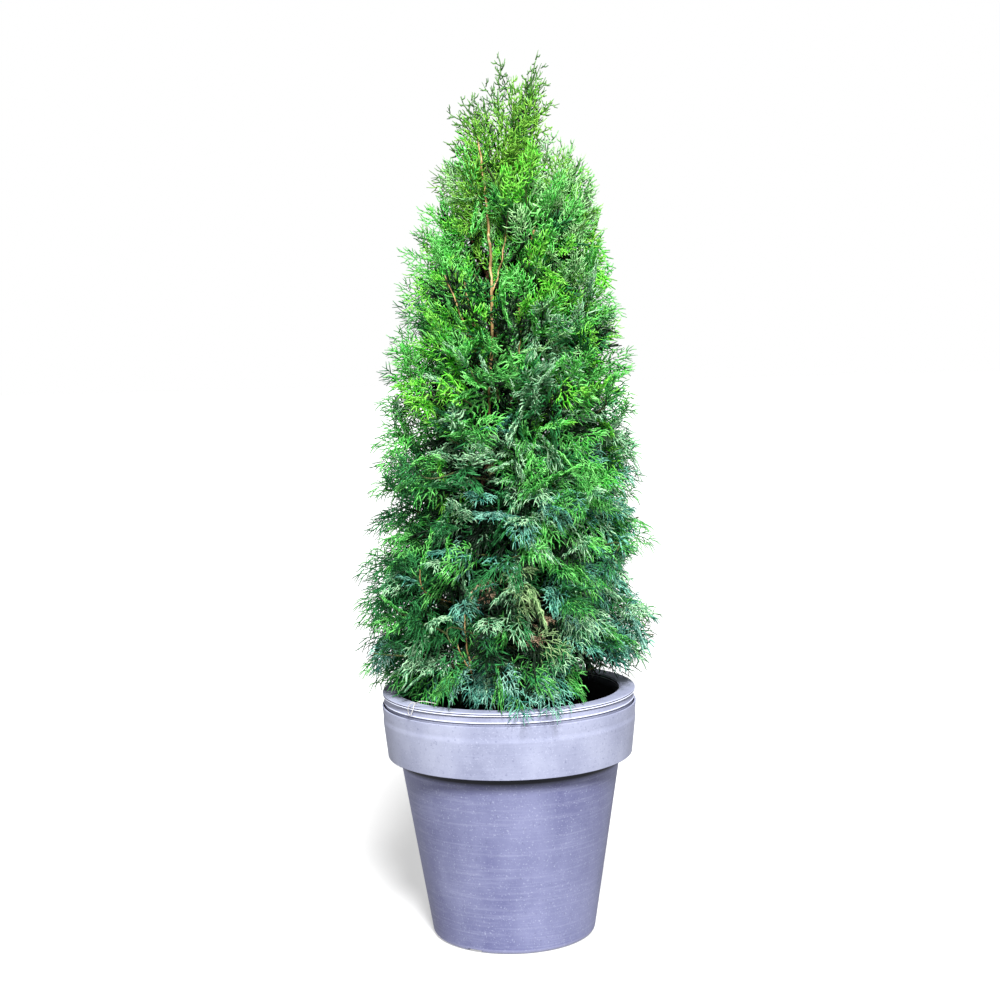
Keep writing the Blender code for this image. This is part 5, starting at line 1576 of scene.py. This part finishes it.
def stem_sprays(plan, middles, rng):
    """Narrow sprays that rise by turns from both sides of the young stems."""
    branches = []
    for path, (_, _, _, clear) in zip(STEM_PATHS, FRONT_STEMS):
        sprays = []
        for k in range(1, len(path) - 1, STRAND_EVERY):
            along = (path[k + 1] - path[k - 1]).normalized()
            side = along.cross(Vector((0, -1, 0))).normalized() * (-1 if len(sprays) % 2 else 1)
            turn = math.radians(rng.uniform(*STRAND_ANGLES))
            leans = STRAND_LEANS_CLEAR if clear else STRAND_LEANS_COVERED
            lean = Vector((0, rng.uniform(*leans), 0))
            way = (along * math.cos(turn) + side * math.sin(turn) + lean).normalized()
            facing = Vector((rng.gauss(0, STRAND_FACE_CHANCE[0]), -1, rng.gauss(0, STRAND_FACE_CHANCE[1])))
            facing = (facing - way * facing.dot(way)).normalized()
            spray = {
                "root": path[k],
                "way": way,
                "facing": facing,
                "past": PAST_OUTLINE,
                "length": rng.uniform(*STRAND_LENGTHS),
                "sag": 0.0,
                "hang": read_profile(HANG, path[k].z),
                "kind": "strand",
                "tone": pick_tone(path[k], "outer", rng),
            }
            if keep_within_reach(spray) and not covers_stem(spray):
                sprays.append(spray)
        mass, _ = nearest_mass(path[len(path) // 2], plan, middles)
        branches.append({"mass": mass, "path": None, "sprays": sprays})
    return branches


def plan_branches(plan, rng):
    """Every branch of the crown, from the listed ones to those dealt out by the rule."""
    middles = np.array([(m["middle"].x, m["middle"].y, m["middle"].z * SPACE_SQUASH) for m in plan])
    hand = random.Random(SEED + 5)
    branches = stem_sprays(plan, middles, hand)
    for x, y, z, rise, azimuth, pairs, tone in OUTLINE_BRANCHES:
        tip = Vector((x, y, z))
        mass, _ = nearest_mass(tip, plan, middles)
        way = steer(math.radians(azimuth), math.radians(rise))
        if y > HAND_FACE_DEPTH:
            facing = Vector((hand.gauss(0, HAND_FACE_CHANCE), -1, hand.gauss(0, HAND_FACE_CHANCE)))
        else:
            facing = surface_facing(tip)
        layer = "heart" if tone == "shade" else "hand"
        branches.append(grow_branch(mass, tip, way, pairs, facing, tone, layer, hand))
    golden = math.pi * (3 - math.sqrt(5))
    for layer, count, low, high, pairs in LAYERS:
        start = rng.uniform(0, math.tau)
        for k, z in enumerate(crown_heights(count, 1 if layer == "outer" else 2)):
            azimuth = start + golden * k + rng.uniform(-BRANCH_AZIMUTH_CHANCE, BRANCH_AZIMUTH_CHANCE)
            z += rng.uniform(-BRANCH_HEIGHT_CHANCE, BRANCH_HEIGHT_CHANCE)
            outward = steer(azimuth, 0)
            profile = read_profile(CROWN_PROFILE, z)
            mass, border = nearest_mass(crown_middle(z) + outward * profile, plan, middles)
            share = rng.uniform(low, high) * between(BORDER_REACH, 1.0, min(1.0, border / BORDER_WIDTH))
            tip = crown_middle(z) + outward * profile * share
            rise = math.radians(read_profile(TIP_RISE, z) + rng.gauss(0, RISE_CHANCE))
            way = steer(azimuth + math.radians(rng.gauss(0, TURN_CHANCE)), rise)
            tone = pick_tone(tip, layer, rng)
            if layer == "outer" and in_gap(tip):
                continue
            branches.append(grow_branch(mass, tip, way, pairs, surface_facing(tip), tone, layer, rng))
    return branches


def smooth_path(points):
    """A smooth curve through every one of the points."""
    ends = [points[0] * 2 - points[1], *points, points[-1] * 2 - points[-2]]
    path = []
    for a, b, c, d in zip(ends, ends[1:], ends[2:], ends[3:]):
        for k in range(STEM_STEPS):
            t = k / STEM_STEPS
            bend = (a * 2 - b * 5 + c * 4 - d) * t**2 + (b * 3 - a - c * 3 + d) * t**3
            path.append((b * 2 + (c - a) * t + bend) / 2)
    return [*path, points[-1]]


def wandering(path):
    """A path that wanders a little between its ends, as a grown stem does."""
    last = len(path) - 1
    made = []
    for k, p in enumerate(path):
        at = p / STEM_WANDER_SPAN
        aside = Vector([noise.noise(at + Vector((shift, 0, 0))) for shift in WANDER_SHIFTS])
        # Nothing at the ends, and all of it in the middle
        made.append(p + aside * (STEM_WANDER * 4 * k / last * (1 - k / last)))
    return made


STEM_PATHS = [wandering(smooth_path([Vector(p) for p in points])) for points, *_ in FRONT_STEMS]


def covers_stem(spray):
    """Whether a spray stands in front of a stem that shows, seen from the front."""
    for share in COVER_PROBES:
        at = spray["root"] + spray["way"] * (spray["length"] * share)
        for path, (_, _, _, clear) in zip(STEM_PATHS, FRONT_STEMS):
            for p in path[::2]:
                if at.y < p.y - COVER_BY and math.hypot(at.x - p.x, at.z - p.z) < clear:
                    return True
    return False


def in_hollow(tip):
    """Whether a spray's tip would hide the mouth that shows at the right."""
    return HOLLOW_SIDES[0] < tip.x < HOLLOW_SIDES[1] and tip.z < HOLLOW_TOP - SIGHT_SLOPE * tip.y


def spray_shoots(spray, pattern, rng):
    """Starts and ends of one spray's shoots, bent under their weight, and which way each one bends."""
    length = spray["length"]
    way, facing = spray["way"], spray["facing"]
    side, along, out = (np.array(v) for v in (facing.cross(way).normalized(), way, facing))
    flat = pattern[:, :4].reshape(-1, 2, 2) * length
    x, y = flat[..., 0:1], flat[..., 1:2]
    reach = (SIDE_SAG * x**2 + y**2) / length
    points = np.array(spray["root"]) + side * x + along * y - out * (CUPPING * x**2 / length)
    points[..., 2:3] -= spray["sag"] * reach
    points[:, 1] += rng.normal(0, SHOOT_PLACE_CHANCE, (len(points), 3))
    points[..., 0] = points[..., 0].clip(*ACROSS)
    # What would sink into the pot's rim lies on it instead
    away = np.hypot(points[..., 0], points[..., 1])
    floor = np.where(away > LINER_RIM_RADIUS + PAST_RIM, 0.0, LINER_RIM_TOP + ABOVE_RIM)
    floor = np.where(away < LINER_MOUTH_RADIUS - INSIDE_MOUTH, SOIL_TOP + ABOVE_SOIL, floor)
    points[..., 2] = np.maximum(points[..., 2], floor)
    hang = spray["hang"]
    chance = rng.normal(0, SHOOT_BEND_CHANCE, (len(points), 3))
    return points, np.array((0, 0, -hang)) + along * (1 - abs(hang)) + chance


def pick_tone(place, layer, rng):
    """A tone by height and layer, in patches where the paler tones or the greener ones prevail."""
    if any((place - Vector(middle)).length < radius for *middle, radius in DRY_PATCHES):
        return rng.choice(("dry", "fading"))
    z = place.z + rng.gauss(0, TONE_HEIGHT_CHANCE)
    if layer in ("second", "heart") and z < DARK_UP_TO:
        # Painted shade: below a height the inner layers take the darkest tones
        return "shade" if layer == "heart" or rng.random() < DARK_SHARE else "deep"
    weights = TONE_WEIGHTS[0][1]
    for (low, first), (high, second) in zip(TONE_WEIGHTS, TONE_WEIGHTS[1:]):
        if low <= z:
            share = min(1.0, (z - low) / (high - low))
            tones = {**first, **second}
            weights = {t: between(first.get(t, 0), second.get(t, 0), share) for t in tones}
    # Painted light and shade: below a height the paler tones are fewer at the sides, above it fewer at the
    # left and more at the right, and the deep tone is more at the left; the patches are the plant's own
    right = min(1.0, max(0.0, place.x / TONE_WIDTH + 0.5))
    aside = min(1.0, abs(place.x - PALE_MIDDLE) / PALE_REACH)
    pale = between(*MIDDLE_TO_SIDES, aside) if z < PALE_LOW else between(*LEFT_TO_RIGHT, right)
    patch = pale * math.exp(PATCH_STRENGTH * noise.noise(place / PATCH_SIZE))
    weights = {t: w * (patch if t in PALE_TONES else 1 / patch) for t, w in weights.items()}
    if "deep" in weights:
        weights["deep"] *= between(*DEEP_LEFT_TO_RIGHT, right)
    return rng.choices(list(weights), list(weights.values()))[0]


def build_foliage(branches):
    """Deals every spray's shoots out to the pieces of their tones, and makes each piece."""
    rng = random.Random(SEED + 3)
    fine = np.random.default_rng(SEED + 4)
    patterns = {kind: [spray_pattern(kind, rng) for _ in range(PATTERNS)] for kind in KINDS}
    dealt = {tone: [] for tone in TONES}
    masses = {tone: set() for tone in TONES}
    for branch in branches:
        for spray in branch["sprays"]:
            tone = spray["tone"]
            pattern = patterns[spray["kind"]][rng.randrange(PATTERNS)]
            points, bend_to = spray_shoots(spray, pattern, fine)
            # Shoots nearer a spray's foot take the tone under their own: painted shade
            outer = pattern[:, 5] > OUTER_SHOOT
            for own, chosen in ((tone, outer), (TONES[tone][2], ~outer)):
                dealt[own].append((points[chosen], bend_to[chosen], pattern[chosen, 4]))
                masses[own].add("foliage_" + branch["mass"]["name"])
    starts, ends, ways, shares = zip(*stem_twigs(rng))
    dealt["leaf"].append((np.stack([starts, ends], axis=1), np.array(ways), np.array(shares)))
    for tone, (colour, light, _, slot) in TONES.items():
        if not dealt[tone]:
            continue
        points, bend_to, shares = (np.concatenate(part) for part in zip(*dealt[tone]))
        material = scale_leaf("scale_leaf_" + tone, colour, light)
        along = points[:, 1] - points[:, 0]
        values = {
            "along": along,
            "bend_to": bend_to,
            "length": np.linalg.norm(along, axis=1),
            "width": SHOOT_WIDTH * shares * fine.uniform(*SHOOT_WIDTH_CHANCE, len(points)),
        }
        pieces = -(-len(points) // SHOOTS_A_PIECE)
        for k in range(pieces):
            part = slice(k * len(points) // pieces, (k + 1) * len(points) // pieces)
            own = {name: value[part] for name, value in values.items()}
            name = f"sprays_{tone}_{k + 1}" if pieces > 1 else f"sprays_{tone}"
            bend = LEADER_BEND if slot == "foliage_leader" else SHOOT_BEND
            lengths = INNER_LENGTHS if tone in UNDER_TONES else SHOOT_LENGTHS
            piece = scatter(name, points[part, 0], own, material, bend=bend, lengths=lengths)
            finish_piece(piece, sorted(masses[tone]))


def stem_twigs(rng):
    """Starts, ends, ways and widths of the short leafy side twigs on the stems that show."""
    rows = []
    for path, (_, _, _, clear) in zip(STEM_PATHS, FRONT_STEMS):
        if not clear:
            continue
        for k in range(1, len(path) - 1, TWIG_EVERY):
            along = (path[k + 1] - path[k - 1]).normalized()
            side = along.cross(Vector((0, -1, 0))).normalized() * rng.choice((-1, 1))
            turn = math.radians(rng.uniform(*TWIG_ANGLES))
            way = along * math.cos(turn) + side * math.sin(turn) + Vector((0, rng.uniform(*TWIG_LEANS), 0))
            end = path[k] + way.normalized() * rng.uniform(*TWIG_LENGTHS)
            rows.append((path[k], end, along, rng.uniform(*TWIG_WIDTHS)))
            if rng.random() < TWIG_FORK_CHANCE:
                low = path[k].lerp(end, TWIG_FORK_AT)
                fork = (along * TWIG_FORK_ALONG - side * TWIG_FORK_ASIDE) * (end - low).length
                rows.append((low, low + fork, along, TWIG_FORK_WIDTH))
    return rows


def build_twigs(plan, branches):
    """The wood inside the foliage: the stem of each mass, its branches, and the stems that show."""
    names = ["foliage_" + m["name"] for m in plan]
    wood = Tubes()
    for mass in plan:
        radii = tapering(BOUGH_TIP_RADIUS, STEM_END_RADIUS, STEM_POINTS)
        wood.add(mass["stem"], radii, STEM_SIDES, peeling)
    for path in (branch["path"] for branch in branches if branch["path"]):
        wood.add(path, tapering(*BRANCH_RADII, len(path) - 1), BRANCH_SIDES)
    brown_bark = fibrous_bark("greenish_brown_bark", "#262A10", "#424A22", "#666E3A")
    finish_piece(wood.piece("stems_and_branches", brown_bark), names)
    young = Tubes()
    for path, (_, foot, tip, _) in zip(STEM_PATHS, FRONT_STEMS):
        young.add(path, tapering(foot, tip, len(path) - 1), YOUNG_STEM_SIDES, peeling)
    orange_bark = fibrous_bark("young_orange_bark", "#523E20", "#AA8450", "#E0C698")
    finish_piece(young.piece("young_stems", orange_bark), names)
    stalk = Tubes()
    path = smooth_path([Vector(p) for p in DRY_STALK])
    stalk.add(path, [DRY_STALK_RADIUS] * len(path), DRY_STALK_SIDES)
    straw = fibrous_bark("dry_straw", "#8E8C90", "#B4B2AE", "#D8D6D0")
    finish_piece(stalk.piece("dry_stalk", straw), names)


# Stage


def build_stage():
    """A plain pale floor, a white backdrop and one broad sun from the front."""
    floor = bmesh.new()
    bmesh.ops.create_grid(floor, x_segments=2, y_segments=2, size=FLOOR_HALF)
    plain = bpy.data.materials.new("plain_pale_floor")
    plain.use_nodes = True
    tree = plain.node_tree
    # Only the camera sees the floor's glow, so it thins the shadows and lights nothing
    seen = add_node(tree, "ShaderNodeLightPath").outputs["Is Camera Ray"]
    glow = add_node(tree, "ShaderNodeMapRange", {"Value": seen, "To Min": 0.0, "To Max": FLOOR_GLOW})
    matte = {"Base Color": linear(FLOOR_COLOUR), "Roughness": 1.0, "Specular IOR Level": 0.0}
    glowing = {"Emission Color": linear("#FFFFFF"), "Emission Strength": glow}
    set_inputs(tree, tree.nodes["Principled BSDF"], {**matte, **glowing})
    obj = add_object("floor", mesh_from(floor, "floor"), plain)
    obj.location.z = -FLOOR_BELOW
    world = bpy.data.worlds.new("soft_white")
    bpy.context.scene.world = world
    world.use_nodes = True
    tree = world.node_tree
    # The backdrop is white to the eye, and lights the room with less
    seen = add_node(tree, "ShaderNodeLightPath").outputs["Is Camera Ray"]
    strength = add_node(tree, "ShaderNodeMapRange", {"Value": seen, "To Min": ROOM_LIGHT, "To Max": BACKDROP})
    set_inputs(tree, tree.nodes["Background"], {"Color": linear("#FFFFFF"), "Strength": strength})
    sun = bpy.data.lights.new("key", "SUN")
    sun.energy = SUN
    sun.angle = math.radians(SUN_WIDTH)
    key = bpy.data.objects.new("key", sun)
    bpy.context.scene.collection.objects.link(key)
    key.rotation_mode = "QUATERNION"
    key.rotation_quaternion = (-Vector(SUN_FROM)).to_track_quat("-Z", "Y")


def build_camera():
    """The camera that was fitted to the picture, turned by its pitch and its roll."""
    data = bpy.data.cameras.new("camera")
    data.lens = CAMERA_LENS
    data.sensor_width = SENSOR
    camera = bpy.data.objects.new("camera", data)
    bpy.context.scene.collection.objects.link(camera)
    ahead = Vector((0, math.cos(CAMERA_PITCH), -math.sin(CAMERA_PITCH)))
    right = Vector((1, 0, 0))
    up = right.cross(ahead)
    turned_right = right * math.cos(CAMERA_ROLL) + up * math.sin(CAMERA_ROLL)
    turned_up = up * math.cos(CAMERA_ROLL) - right * math.sin(CAMERA_ROLL)
    matrix = Matrix((turned_right, turned_up, -ahead)).transposed().to_4x4()
    matrix.translation = Vector(CAMERA_PLACE)
    camera.matrix_world = matrix
    bpy.context.scene.camera = camera


def main():
    bpy.context.scene.view_settings.view_transform = "Standard"
    build_camera()
    build_stage()
    build_pots()
    build_soil(random.Random(SEED + 1))
    plan = crown_plan()
    build_limbs(plan)
    grow_stems(plan)
    branches = plan_branches(plan, random.Random(CROWN_SEED))
    build_foliage(branches)
    build_twigs(plan, branches)


main()
